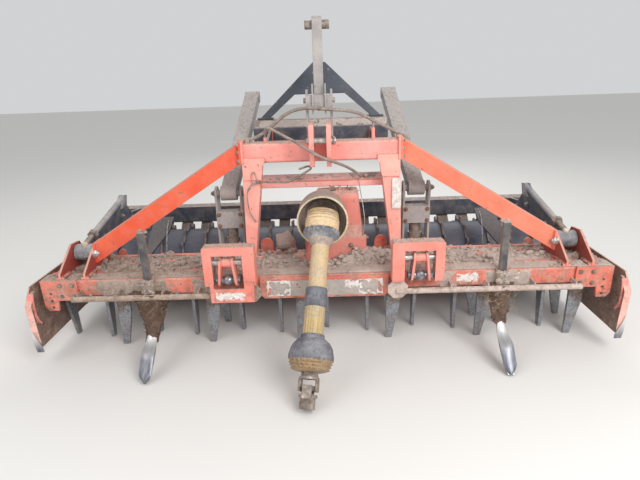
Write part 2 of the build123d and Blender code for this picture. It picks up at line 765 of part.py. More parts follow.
# Lower half: collar, guard tube over the upper one, end cone with bellows, and the free universal joint
end = shaft_length
tube_start = 348
ear_reach = 46
with BuildPart() as shaft_inner:
    turned([
        (upper_tube_radius + shaft_gap, tube_start), (collar_radius - 2, tube_start),
        (collar_radius, tube_start + 6), (collar_radius, tube_start + 84),
        (collar_radius - 2, tube_start + 90),
        (lower_tube_radius, tube_start + 92), (lower_tube_radius, end - 272), (56, end - 268),
        (56, end - 252), (64, end - 248), (84, end - 232), (98, end - 208), (end_cone_radius, end - 172),
        (end_cone_radius, end - 152), (end_cone_radius - 10, end - 146), (end_cone_radius - 3, end - 139),
        (end_cone_radius - 14, end - 132), (end_cone_radius - 8, end - 125),
        (end_cone_radius - 20, end - 118), (end_cone_radius - 15, end - 111),
        (end_cone_radius - 30, end - 104), (60, end - 100), (40, end - 98),
        (40, end - 72), (30, end - 68), (0, end - 68), (0, 640), (upper_tube_radius + shaft_gap, 640)],
        shaft_plane)
    yoke_plane = Plane(origin=joint_centre + shaft_run * end, x_dir=shaft_side, z_dir=shaft_run)
    # Two ears from each half of the joint: place across the shaft, turn about it, start and end along it
    for turn, low, high in ((0, -72, -14), (90, -42, 16)):
        for across in (-1, 1):
            with BuildSketch(yoke_plane.offset(low)):
                with Locations(Location((0, 0, 0), (0, 0, turn))):
                    with Locations((across * (ear_reach - 7), 0)):
                        RectangleRounded(14, 44, 4)
            extrude(amount=high - low)
    for turn in (0, 90):
        with BuildSketch(yoke_plane.offset(-28 - cross_pin_radius)):
            with Locations(Location((0, 0, 0), (0, 0, turn))):
                Rectangle(2 * ear_reach, 2 * cross_pin_radius)
        extrude(amount=2 * cross_pin_radius)
    with BuildSketch(yoke_plane.offset(-78)):
        Circle(ear_reach)
    extrude(amount=10)
    with BuildSketch(yoke_plane.offset(-2)):
        Circle(ear_reach - 2)
        Circle(17.5, mode=Mode.SUBTRACT)
    extrude(amount=14)
    with BuildSketch(yoke_plane):
        Circle(free_yoke_radius)
        Circle(17.5, mode=Mode.SUBTRACT)
    extrude(amount=62)
save(shaft_inner, "shaft_inner")

# Packer roller: a closed drum with rings of teeth, each ring turned a little from the last
tooth_root = drum_radius + 14
with BuildPart() as roller:
    for i in range(ring_count):
        x = (i - (ring_count - 1) / 2) * ring_pitch
        with BuildSketch(side_face(x - ring_thickness / 2)):
            with Locations((roller_y, roller_radius)):
                Circle(tooth_root)
                with PolarLocations(0, tooth_count, start_angle=-90 + 360 / tooth_count / 4 * (i % 4)):
                    with Locations((drum_radius, 0)):
                        Polygon(
                            (0, -30), (roller_radius - drum_radius, -9), (roller_radius - drum_radius, 9),
                            (0, 30), align=None)
    extrude(amount=ring_thickness)
    rod(drum_radius, (-drum_length / 2, roller_y, roller_radius), drum_length, "x")
    rod(
        drum_radius - drum_wall, (-drum_length / 2 + drum_wall, roller_y, roller_radius),
        drum_length - 2 * drum_wall, "x", mode=Mode.SUBTRACT)
    stub = frame_plate_x + frame_plate + 8 - drum_length / 2 + drum_wall
    for start in (-drum_length / 2 + drum_wall - stub, drum_length / 2 - drum_wall):
        rod(axle_radius, (start, roller_y, roller_radius), stub, "x")
save(roller, "roller")

# Roller frame: arms from the pivots, a cross tube over the roller and a plate at each end
frame_tube_back = frame_y + frame_tube
with BuildPart() as roller_frame:
    block(-frame_plate_x, frame_plate_x, frame_y, frame_tube_back, frame_z, frame_tube_top)
    for _, side in sides:
        with BuildSketch(side_face(min(side * frame_plate_x, side * (frame_plate_x + frame_plate)))):
            with BuildLine():
                Polyline(
                    (frame_y - 20, frame_tube_top + 10), (frame_tube_back + 6, frame_tube_top + 10),
                    (frame_tube_back + 6, frame_z - 30), (roller_y + 70, roller_radius - 40))
                ThreePointArc(
                    (roller_y + 70, roller_radius - 40), (roller_y, roller_radius - 80),
                    (roller_y - 70, roller_radius - 40))
                Line((roller_y - 70, roller_radius - 40), (frame_y - 20, frame_tube_top + 10))
            make_face()
            with Locations((roller_y, roller_radius)):
                Circle(axle_radius + pivot_gap, mode=Mode.SUBTRACT)
        extrude(amount=frame_plate)
save(roller_frame, "roller_frame")

arm_middle = brace_low_x + bracket_plate + bracket_gap / 2
for name, side in sides:
    with BuildPart() as arm:
        x = side * arm_middle
        with BuildSketch(side_face(x - arm_thickness / 2)):
            outline([
                (pivot_y - 10, pivot_z - 44), (pivot_y + 120, arm_bottom), (frame_y, arm_bottom),
                (frame_y, frame_tube_top), (frame_y - 150, frame_tube_top + 20),
                (roller_y - 30, frame_tube_top + 118), (roller_y - 80, frame_tube_top + 128),
                (pivot_y - 10, pivot_z + 44)])
        extrude(amount=arm_thickness)
        rod(arm_boss_radius, (x - bracket_gap / 2 + 4, pivot_y, pivot_z), bracket_gap - 8, "x")
        rod(
            pivot_radius + pivot_gap, (x - bracket_gap, pivot_y, pivot_z),
            2 * bracket_gap, "x", mode=Mode.SUBTRACT)
        low = Vector(x, pivot_y + 96, pivot_z + 70)
        high = Vector(x, roller_y - 20, frame_tube_top + 140)
        with BuildSketch(Plane(origin=low, x_dir=(1, 0, 0), z_dir=(high - low).normalized())):
            Circle(adjuster_radius)
        extrude(amount=(high - low).length)
        for offset in (-arm_thickness / 2 - 8, arm_thickness / 2):
            with BuildSketch(side_face(x + offset)):
                outline([
                    (roller_y - 110, frame_tube_top + 84), (roller_y - 20, frame_tube_top + 84),
                    (roller_y + 6, frame_tube_top + 150), (roller_y - 50, frame_tube_top + 160)])
            extrude(amount=8)
    save(arm, "roller_arm_" + name)

# Stays: a tapered plate each side, rising behind the trough
for name, side in sides:
    with BuildPart() as stay:
        stay_low = Vector(0, trough_back - ear_thickness, cover_top)
        stay_high = Vector(0, trough_back + 224, cover_top + 158)
        stay_run = stay_high - stay_low
        slope = Plane(
            origin=stay_low, x_dir=(1, 0, 0), z_dir=Vector(1, 0, 0).cross(stay_run).normalized())
        with BuildSketch(slope):
            outline([
                (side * (stay_out - 34), 0), (side * stay_out, 0), (side * stay_out, stay_run.length),
                (side * stay_in, stay_run.length), (side * (stay_in + 8), stay_run.length - 110)])
        extrude(amount=stay_thickness)
        block(
            side * (stay_out - 34), side * stay_out, rib_rows[1] + rib_width / 2, trough_back + 20,
            cover_top, cover_top + 8)
    save(stay, "rear_stay_" + name)

# Scrapers: a tab behind the drum between each two rings of teeth
scraper_angle = radians(38)
scraper_reach = drum_radius + 4
scraper_tip = Vector(
    0, roller_y + scraper_reach * cos(scraper_angle), roller_radius + scraper_reach * sin(scraper_angle))
scraper_root = Vector(0, frame_y + frame_tube / 2, frame_z - 6)
scraper_run = scraper_root - scraper_tip
with BuildPart() as scrapers:
    block(
        -frame_plate_x, frame_plate_x, frame_y + 30, frame_y + 30 + scraper_bar, frame_z - 12, frame_z)
    for i in range(ring_count - 1):
        x = (i + 1 - ring_count / 2) * ring_pitch
        slope = Plane(
            origin=(x, scraper_tip.Y, scraper_tip.Z), x_dir=(1, 0, 0),
            z_dir=Vector(1, 0, 0).cross(scraper_run).normalized())
        with BuildSketch(slope):
            with Locations((0, scraper_run.length / 2)):
                Rectangle(scraper_width, scraper_run.length - 14)
        extrude(amount=scraper_thickness)
save(scrapers, "scrapers")

# Side plates: a rounded plate outside each end, hinged on a rod along the trough's end
lug_ys = (trough_front + 20, trough_back - 40)
for name, side in sides:
    end = side * trough_length / 2
    with BuildPart() as side_hinge:
        for y in lug_ys:
            block(end, side * side_pivot_x, y, y + lug_thickness, side_pivot_z - 15, side_pivot_z + 15)
            rod(side_pivot_radius + 6, (side * side_pivot_x, y, side_pivot_z), lug_thickness, "y")
        rod(
            side_pivot_radius, (side * side_pivot_x, lug_ys[0] - 12, side_pivot_z),
            lug_ys[1] + lug_thickness + 24 - lug_ys[0], "y")
    save(side_hinge, "side_hinge_" + name)
    with BuildPart() as side_plate:
        inner_face = min(side * side_x, side * (side_x + side_plate_thickness))
        with BuildSketch(side_face(inner_face)):
            with BuildLine():
                Polyline(
                    (front_y - 5, side_top), (front_y + 560, side_top), (front_y + 620, side_bottom + 150))
                ThreePointArc(
                    (front_y + 620, side_bottom + 150), (front_y + 590, side_bottom + 36),
                    (front_y + 470, side_bottom))
                Line((front_y + 470, side_bottom), (front_y - 20, side_bottom))
                ThreePointArc(
                    (front_y - 20, side_bottom), (front_y - 50, side_bottom + 12),
                    (front_y - 62, side_bottom + 42))
                Polyline((front_y - 62, side_bottom + 42), (front_y - 72, 350), (front_y - 5, side_top))
            make_face()
        extrude(amount=side_plate_thickness)
        with BuildSketch(side_face(min(side * side_x, side * (side_x - side_flange)))):
            outline([
                (front_y - 62, side_bottom + 42), (front_y - 72, 350), (front_y - 34, 398),
                (front_y - 26, 392), (front_y - 64, 347), (front_y - 54, side_bottom + 42)])
        extrude(amount=side_flange)
        with BuildSketch(side_face(min(side * side_x, side * (side_x - 14)))):
            with Locations((front_y + 4, 348)):
                Circle(strap_radius + strap_width / 2)
                Circle(strap_radius - strap_width / 2, mode=Mode.SUBTRACT)
            with Locations((front_y + 4 + strap_radius, 348)):
                Rectangle(2 * strap_radius, 4 * strap_radius, mode=Mode.SUBTRACT)
        extrude(amount=14)
        for y in (lug_ys[0] + lug_thickness + 6, lug_ys[1] - 46):
            block(
                side * side_pivot_x, side * side_x, y, y + 40, side_pivot_z - 18, side_pivot_z + 18)
            rod(side_pivot_radius + 7, (side * side_pivot_x, y, side_pivot_z), 40, "y")
            rod(
                side_pivot_radius + pivot_gap, (side * side_pivot_x, y - 1, side_pivot_z), 42, "y",
                mode=Mode.SUBTRACT)
    save(side_plate, "side_plate_" + name)

# Rear linkage: towers with their rams, box lift arms, a bar on two brackets, the A-frame and a strut
tower_base_top = cover_top + rib_height + 12
for name, side in sides:
    x = side * tower_x
    half = tower_width / 2
    with BuildPart() as tower:
        block(
            x - half, x + half, trough_back - 60, tower_y + tower_half_depth + 5, cover_top, tower_base_top)
        block(
            x - half, x + half, rib_rows[1] - rib_width / 2, rib_rows[1] + rib_width / 2,
            cover_top, cover_top + rib_height, mode=Mode.SUBTRACT)
        for start in (x - half, x + half - tower_plate):
            with BuildSketch(side_face(start)):
                outline([
                    (tower_y - tower_half_depth, tower_base_top),
                    (tower_y + tower_half_depth, tower_base_top),
                    (tower_y + lift_arm_boss, tower_pin_z), (tower_y - lift_arm_boss, tower_pin_z)])
                with Locations((tower_y, tower_pin_z)):
                    Circle(lift_arm_boss)
            extrude(amount=tower_plate)
        block(
            x - half, x + half, tower_y - tower_half_depth - 3, tower_y + 20, tower_block_bottom,
            tower_block_top)
        rod(ram_radius, (x, tower_y, tower_base_top), tower_block_bottom - tower_base_top, "z")
        rod(ram_radius + 8, (x, tower_y, tower_base_top + 34), 30, "z")
        rod(tower_pin_radius, (x - half - 8, tower_y, tower_pin_z), tower_width + 16, "x")
    save(tower, "lift_tower_" + name)
    foot = Vector(x, tower_y, tower_pin_z)
    tip = Vector(x - side * lift_arm_inward, tower_y + lift_arm_reach, tower_pin_z + lift_arm_rise)
    arm_run = (tip - foot).normalized()
    arm_across = Vector(arm_run.Y, -arm_run.X, 0).normalized()
    with BuildPart() as lift_arm:
        with BuildSketch(Plane(origin=foot, x_dir=arm_across, z_dir=arm_run)):
            Rectangle(lift_arm_width, lift_arm_thickness)
            Rectangle(
                lift_arm_width - 2 * lift_arm_wall, lift_arm_thickness - 2 * lift_arm_wall,
                mode=Mode.SUBTRACT)
        extrude(amount=(tip - foot).length)
        rod(lift_arm_boss, (x - lift_arm_width / 2, tower_y, tower_pin_z), lift_arm_width, "x")
        rod(lift_arm_boss - 6, (tip.X - lift_arm_width / 2, tip.Y, tip.Z), lift_arm_width, "x")
        rod(
            tower_pin_radius + pivot_gap, (x - lift_arm_width, tower_y, tower_pin_z), 2 * lift_arm_width,
            "x", mode=Mode.SUBTRACT)
        rod(14.2, (tip.X - lift_arm_width, tip.Y, tip.Z), 2 * lift_arm_width, "x", mode=Mode.SUBTRACT)
    save(lift_arm, "lift_arm_" + name)

with BuildPart() as rear_bar:
    with BuildSketch(side_face(-rear_bar_x)):
        outline([
            (rear_bar_y, rear_bar_bottom), (rear_bar_y, rear_bar_edge),
            (rear_bar_y + rear_bar_depth / 2, rear_bar_top), (rear_bar_y + rear_bar_depth, rear_bar_top),
            (rear_bar_y + rear_bar_depth, rear_bar_bottom)])
    extrude(amount=2 * rear_bar_x)
    for side in (-1, 1):
        with BuildSketch(side_face(side * 300 - 8)):
            outline([
                (headstock_y + top_beam_depth, top_beam_bottom + 16),
                (headstock_y + top_beam_depth, top_beam_top - 16), (rear_bar_y, rear_bar_edge - 6),
                (rear_bar_y, rear_bar_bottom)])
        extrude(amount=16)
save(rear_bar, "rear_bar")

bar_ridge_y = rear_bar_y + rear_bar_depth * 0.75
a_rise = apex_z - rear_bar_top
a_height = hypot(a_rise, apex_y - bar_ridge_y)
with BuildPart() as a_frame:
    a_plane = Plane(
        origin=(0, bar_ridge_y, rear_bar_top), x_dir=(1, 0, 0),
        z_dir=Vector(0, -a_rise, apex_y - bar_ridge_y).normalized())
    window = (a_window_top - rear_bar_top) / a_rise * a_height
    with BuildSketch(a_plane):
        outline([(-a_foot, 2), (a_foot, 2), (36, a_height), (-36, a_height)])
        Polygon(
            (-a_foot_inner, 2), (a_foot_inner, 2), (a_window_half, window), (-a_window_half, window),
            align=None, mode=Mode.SUBTRACT)
    extrude(amount=9, both=True)
    for side in (-1, 1):
        block(
            side * (a_foot_inner - 30), side * (a_foot + 10), rear_bar_y + rear_bar_depth / 2,
            rear_bar_y + rear_bar_depth, rear_bar_top, rear_bar_top + 12)
save(a_frame, "a_frame")

with BuildPart() as upper_lugs:
    for side in (-1, 1):
        with BuildSketch(side_face(min(side * lug_x, side * (lug_x + lug_plate)))):
            outline([
                (headstock_y + 30, top_beam_top), (headstock_y + top_beam_depth, top_beam_top),
                (strut_y + 24, lug_top), (strut_y - 30, lug_top), (strut_y - 56, strut_foot_z - 40)])
        extrude(amount=lug_plate)
        block(
            side * (strut_width / 2 + 4), side * (strut_width / 2 + 12), strut_y - 70, strut_y - 56,
            strut_foot_z - 66, strut_foot_z + 86)
    block(
        -lug_x - lug_plate, lug_x + lug_plate, strut_y - 56, strut_y - strut_depth / 2 - 2,
        strut_foot_z - 30, strut_foot_z + 30)
    rod(14, (-lug_x - lug_plate - 14, strut_y, strut_foot_z), 2 * (lug_x + lug_plate + 14), "x")
save(upper_lugs, "upper_lugs")

with BuildPart() as top_strut:
    with BuildSketch(side_face(-strut_width / 2)):
        with Locations((strut_y, (strut_foot_z + strut_top_z) / 2)):
            SlotCenterToCenter(strut_top_z - strut_foot_z, strut_depth, rotation=90)
        with Locations((strut_y, strut_foot_z)):
            Circle(14 + pivot_gap, mode=Mode.SUBTRACT)
    extrude(amount=strut_width)
    rod(
        strut_sleeve_radius, (-strut_sleeve_length / 2, strut_y, strut_top_z), strut_sleeve_length, "x")
    rod(
        12.9, (-strut_sleeve_length / 2, strut_y, strut_top_z), strut_sleeve_length, "x",
        mode=Mode.SUBTRACT)
save(top_strut, "top_strut")

# Hydraulic hose over the top beam: the places it passes, back from front_y along Y
hose_radius = 9
hose_places = (
    (-392, 345, 1104), (-338, 345, 1118), (-292, 343, 1146), (-246, 336, 1180), (-203, 322, 1218),
    (-153, 304, 1248), (-92, 290, 1264), (-22, 286, 1263), (52, 286, 1254), (120, 290, 1249),
    (180, 304, 1238), (234, 328, 1215), (286, 350, 1184), (344, 374, 1154), (402, 402, 1122),
    (454, 430, 1086))
with BuildPart() as hose:
    hose_points = [Vector(x, front_y + y, z) for x, y, z in hose_places]
    bends = []
    for before, here, after in zip(hose_points, hose_points[1:], hose_points[2:]):
        turn = radians((here - before).get_angle(after - here))
        bends.append(0.45 * min((here - before).length, (after - here).length) / tan(turn / 2))
    print("hose bends", [round(bend) for bend in bends])
    with BuildLine() as hose_line:
        FilletPolyline(*hose_points, radius=bends)
    hose_exit = (hose_points[1] - hose_points[0]).normalized()
    with BuildSketch(Plane(origin=hose_points[0], z_dir=hose_exit)):
        Circle(hose_radius)
    sweep()
    hose_run = (hose_points[-1] - hose_points[-2]).normalized()
    with BuildSketch(Plane(origin=hose_points[-1] - hose_run * 2, z_dir=hose_run)):
        Circle(hose_radius + 5)
    extrude(amount=46)
    block(-404, -382, headstock_y + 32, headstock_y + 58, top_beam_top, top_beam_top + 26)
    print("hose volume", round(hose.part.volume))
save(hose, "hose")
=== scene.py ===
import json
import random
from math import cos, exp, hypot, pi, radians, sin

import bmesh
import bpy
from mathutils import Matrix, Vector, noise


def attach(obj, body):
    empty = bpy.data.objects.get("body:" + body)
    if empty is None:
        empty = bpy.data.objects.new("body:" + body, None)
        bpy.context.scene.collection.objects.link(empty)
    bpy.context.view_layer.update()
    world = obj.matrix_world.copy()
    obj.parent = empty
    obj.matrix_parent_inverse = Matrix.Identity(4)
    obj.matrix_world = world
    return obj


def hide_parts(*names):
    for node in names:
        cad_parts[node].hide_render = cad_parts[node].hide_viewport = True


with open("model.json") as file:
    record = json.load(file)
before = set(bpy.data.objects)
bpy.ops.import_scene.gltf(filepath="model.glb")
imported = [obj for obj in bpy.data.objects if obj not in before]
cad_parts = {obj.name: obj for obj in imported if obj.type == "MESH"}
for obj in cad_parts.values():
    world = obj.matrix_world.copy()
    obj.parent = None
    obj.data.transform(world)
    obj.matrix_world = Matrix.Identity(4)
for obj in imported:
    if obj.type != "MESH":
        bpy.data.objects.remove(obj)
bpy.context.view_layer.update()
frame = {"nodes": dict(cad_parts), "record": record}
nodes, record = frame["nodes"], frame["record"]
bodyOf = {node: body for body, members in record["behaviour"]["bodies"].items() for node in members}
print("frame loaded:", len(nodes), "nodes")

# Places from the CAD: the front line, shaft joint and slanted axes in metres, the others in mm,
# across, back from the front line and up
frontLine = -0.283
shaftJoint = Vector((0, -0.211, 0.715))
shaftRun = Vector((-0.09995, -0.635397, -0.765689)).normalized()
rodRun = Vector((0, 0.469, 0.096)).normalized()
hitch = {"x": 482.5, "ballZ": 460, "rodZ": 556, "y": -42}
rotorPlaces = {"rotor_%02d" % (i + 1): (i - 5.5) * 250 for i in range(12)}
rotorY, shaftZ, shankX, rodFoot = 255, 715, 905, (1308, 311, 608)
bothSides = ((-1, "left"), (1, "right"))
X, Y, Z = Vector((1, 0, 0)), Vector((0, 1, 0)), Vector((0, 0, 1))

# The camera stands a little over two metres in front, above the machine, tilted down and rolled a little.
view = {
    "place": (0.029, -2.545, 1.449),
    "down": 19.55,
    "turn": 1.09,
    "roll": 2.0,
    "focalPixels": 480.0,
    "imageWidth": 640.0,
    "sensorWidth": 36.0,
}


def addObject(name, data):
    obj = bpy.data.objects.new(name, data)
    bpy.context.scene.collection.objects.link(obj)
    return obj


def placeCamera(v):
    down, turn, roll = (radians(v[k]) for k in ("down", "turn", "roll"))
    ahead = Vector((-sin(turn) * cos(down), cos(turn) * cos(down), -sin(down)))
    right = Vector((cos(turn), sin(turn), 0))
    up = right.cross(ahead)
    rolledRight = right * cos(roll) - up * sin(roll)
    rolledUp = right * sin(roll) + up * cos(roll)
    turned = Matrix((rolledRight, rolledUp, -ahead)).transposed().to_4x4()
    data = bpy.data.cameras.new("camera")
    data.sensor_width = v["sensorWidth"]
    data.lens = v["focalPixels"] / v["imageWidth"] * v["sensorWidth"]
    data.clip_start = 0.05
    camera = addObject("camera", data)
    camera.matrix_world = Matrix.Translation(v["place"]) @ turned
    bpy.context.scene.camera = camera


placeCamera(view)


def hexColour(text):
    # sRGB hex to the linear values that the shaders take
    values = [int(text[i:i + 2], 16) / 255 for i in (1, 3, 5)]
    linear = [c / 12.92 if c <= 0.04045 else ((c + 0.055) / 1.055) ** 2.4 for c in values]
    return (*linear, 1.0)


class Finish:
    # a Principled material and the nodes that feed it; a value is a socket, a number or a hex colour
    def __init__(self, name):
        self.material = bpy.data.materials.new(name)
        self.material.use_nodes = True
        self.tree = self.material.node_tree
        self.tree.nodes.clear()
        output = self.add("OutputMaterial")
        self.shader = self.add("BsdfPrincipled")
        self.tree.links.new(self.shader.outputs[0], output.inputs[0])
        self.where = self.add("TexCoord").outputs["Object"]

    def add(self, kind, values=None, **settings):
        node = self.tree.nodes.new("ShaderNode" + kind)
        for key, value in settings.items():
            setattr(node, key, value)
        self.feed(node, values or {})
        return node

    def feed(self, node, values):
        for key, value in values.items():
            if isinstance(value, str):
                node.inputs[key].default_value = hexColour(value)
            elif isinstance(value, (int, float, tuple)):
                node.inputs[key].default_value = value
            else:
                self.tree.links.new(value, node.inputs[key])

    def lifted(self, value, start, end):
        # start to end spread over 0 to 1
        values = {"Value": value, "From Min": start, "From Max": end}
        return self.add("MapRange", values, clamp=True).outputs[0]

    def ranged(self, value, low, high):
        # 0 to 1 spread over low to high
        return self.add("MapRange", {"Value": value, "To Min": low, "To Max": high}).outputs[0]

    def grain(self, scale, detail, rough, low=0.35, high=0.65, where=None):
        # noise lifted between low and high; scale is in repeats a metre
        values = {"Vector": where or self.where, "Scale": scale, "Detail": detail, "Roughness": rough}
        return self.lifted(self.add("TexNoise", values).outputs[0], low, high)

    def times(self, a, b):
        return self.add("Math", {0: a, 1: b}, operation="MULTIPLY", use_clamp=True).outputs[0]

    def plus(self, a, b):
        return self.add("Math", {0: a, 1: b}, operation="ADD").outputs[0]

    def most(self, a, b):
        return self.add("Math", {0: a, 1: b}, operation="MAXIMUM").outputs[0]

    def mix(self, share, a, b):
        return self.add("Mix", {0: share, 6: a, 7: b}, data_type="RGBA").outputs[2]

    def part(self, axis, vector=None):
        return self.add("SeparateXYZ", {0: vector or self.where}).outputs[axis]

    def facing(self):
        return self.add("NewGeometry").outputs["Normal"]

    def edges(self, radius, start, end):
        # 1 along sharp edges: how far the rounded normal leans away from the face's own
        rounded = self.add("Bevel", {"Radius": radius}, samples=4).outputs[0]
        lean = self.add("VectorMath", {0: rounded, 1: self.facing()}, operation="DOT_PRODUCT")
        return self.lifted(lean.outputs["Value"], start, end)

    def done(self, colour, rough, relief, strength, distance, **others):
        bump = self.add("Bump", {"Height": relief, "Strength": strength, "Distance": distance}).outputs[0]
        self.feed(self.shader, {"Base Color": colour, "Roughness": rough, "Normal": bump, **others})
        return self.material


# Machine enamel on welded steel: faded by sun, dusty on every top face, splashed with soil low down,
# rubbed to bare metal along the edges and chipped where stones hit it.
def machineEnamel(name, fresh, faded, dust, mud, wear, chips, film, dirt=("#B9A699", "#97826F")):
    m = Finish(name)
    fine = m.grain(70, 6, 0.7, 0.42, 0.62)
    streaks = m.grain(17, 5, 0.65, 0.40, 0.66)
    paint = m.mix(m.grain(5.5, 5, 0.6), fresh, faded)
    top = m.lifted(m.part("Z", m.facing()), 0.25, 0.85)
    layer = m.most(m.times(streaks, film * dust), m.times(top, dust))
    dusty = m.mix(layer, paint, m.mix(fine, *dirt))
    low = m.lifted(m.part("Z"), 0.52, 0.30)
    splash = m.times(m.times(low, m.grain(26, 6, 0.7, 0.46, 0.58)), mud)
    muddy = m.mix(splash, dusty, m.mix(fine, "#8F7869", "#6B574A"))
    chipped = m.grain(42, 6, 0.72, 0.64 - 0.05 * chips, 0.66)
    rubbed = m.times(m.times(m.edges(0.006, 0.992, 0.93), wear), m.grain(33, 5, 0.6, 0.40, 0.62))
    colour = m.mix(m.most(rubbed, chipped), muddy, m.mix(fine, "#6B4A38", "#8E8880"))
    relief = m.plus(m.times(splash, fine), m.times(streaks, 0.25))
    return m.done(colour, m.ranged(layer, 0.42, 0.93), relief, 0.55, 0.004)


# Dried loam: matt, crumbly, with dark pores; lighter to the right and darker to the left as painted light and
# shade.
def driedLoam(name, pale, dark, crumb):
    m = Finish(name)
    coarse = m.grain(24, 8, 0.65, 0.34, 0.66)
    fine = m.grain(115, 7, 0.75, 0.36, 0.64)
    colour = m.mix(coarse, dark, pale)
    # painted light and shade: more of the crumb colour towards +X, lighter on the right and darker on the
    # left
    for share in (m.times(m.lifted(m.part("X"), -0.8, 0.1), 0.55), m.times(fine, 0.62)):
        colour = m.mix(share, colour, crumb)
    colour = m.mix(m.times(m.grain(210, 5, 0.75, 0.58, 0.72), 0.6), colour, dark)
    lumps = m.plus(coarse, m.times(fine, 0.6))
    return m.done(colour, 0.96, lumps, 1.0, 0.010, **{"Specular IOR Level": 0.15})


# Hardened steel polished by the soil at the tips, rusty and caked higher up.
def soilWornSteel(name, cakeFrom, cakeTo, cake):
    m = Finish(name)
    blotch = m.grain(30, 6, 0.65, 0.36, 0.64)
    fine = m.grain(120, 5, 0.7)
    rusty = m.mix(m.times(blotch, 0.45), m.mix(fine, "#AEB3BA", "#83888F"), "#7C6556")
    wobble = m.plus(m.lifted(m.part("Z"), cakeFrom, cakeTo), m.times(blotch, 0.55))
    caked = m.times(m.lifted(wobble, 0.45, 0.8), cake)
    colour = m.mix(caked, rusty, m.mix(fine, "#9A8576", "#6F5B4E"))
    return m.done(colour, m.ranged(caked, 0.42, 0.95), m.times(caked, fine), 0.6, 0.004,
                  Metallic=m.ranged(caked, 0.7, 0.0))


# Share points scoured by the soil: streaked bluish steel, darker towards the point, with a painted highlight
# that whitens the upper part.
def sharePointWithPaintedHighlight(name, low, high):
    m = Finish(name)
    stretched = m.add("Mapping", {0: m.where, "Scale": (60, 12, 9)}).outputs[0]
    streaks = m.grain(1.0, 5, 0.6, where=stretched)
    steel = m.mix(streaks, "#5C5E67", "#8E8D92")
    # painted highlight: near-white mixed in with height, standing in for the sky's reflection on the polished
    # blade
    colour = m.mix(m.times(m.lifted(m.part("Z"), low, high), 0.85), steel, "#E4E1DE")
    return m.done(colour, 0.36, streaks, 0.3, 0.001, Metallic=0.55)


# Moulded polyethylene guard: waxy sheen where clean, dust and mud over most of it.
def mouldedGuard(name, clean, worn, grime, dirt=("#A8958A", "#7C6A5E")):
    m = Finish(name)
    fine = m.grain(90, 5, 0.7)
    share = m.times(m.grain(13, 6, 0.65, 0.38, 0.62), grime)
    colour = m.mix(share, m.mix(fine, clean, worn), m.mix(fine, *dirt))
    return m.done(colour, m.ranged(share, 0.45, 0.92), m.times(share, fine), 0.4, 0.002, IOR=1.5)


# Zinc-plated pins and bright forged steel, handled and dusty.
def platedSteel(name, bright, dull, metallic):
    m = Finish(name)
    blotch = m.grain(40, 5, 0.6, 0.4, 0.62)
    fine = m.grain(210, 4, 0.6)
    colour = m.mix(m.times(fine, 0.4), m.mix(blotch, bright, dull), "#6E5F54")
    return m.done(colour, m.ranged(blotch, 0.3, 0.7), fine, 0.25, 0.0006, Metallic=metallic)


# Old vinyl label: bleached white, scuffed through to the paint's colour, soil in its scratches.
def wornVinyl(name):
    m = Finish(name)
    scratch = m.grain(190, 5, 0.7, 0.5, 0.7)
    colour = m.mix(m.times(m.grain(45, 6, 0.7, 0.42, 0.6), 0.6), "#E9E3DD", "#B7A69B")
    return m.done(m.mix(m.times(scratch, 0.8), colour, "#8C766A"), 0.62, scratch, 0.3, 0.0008)


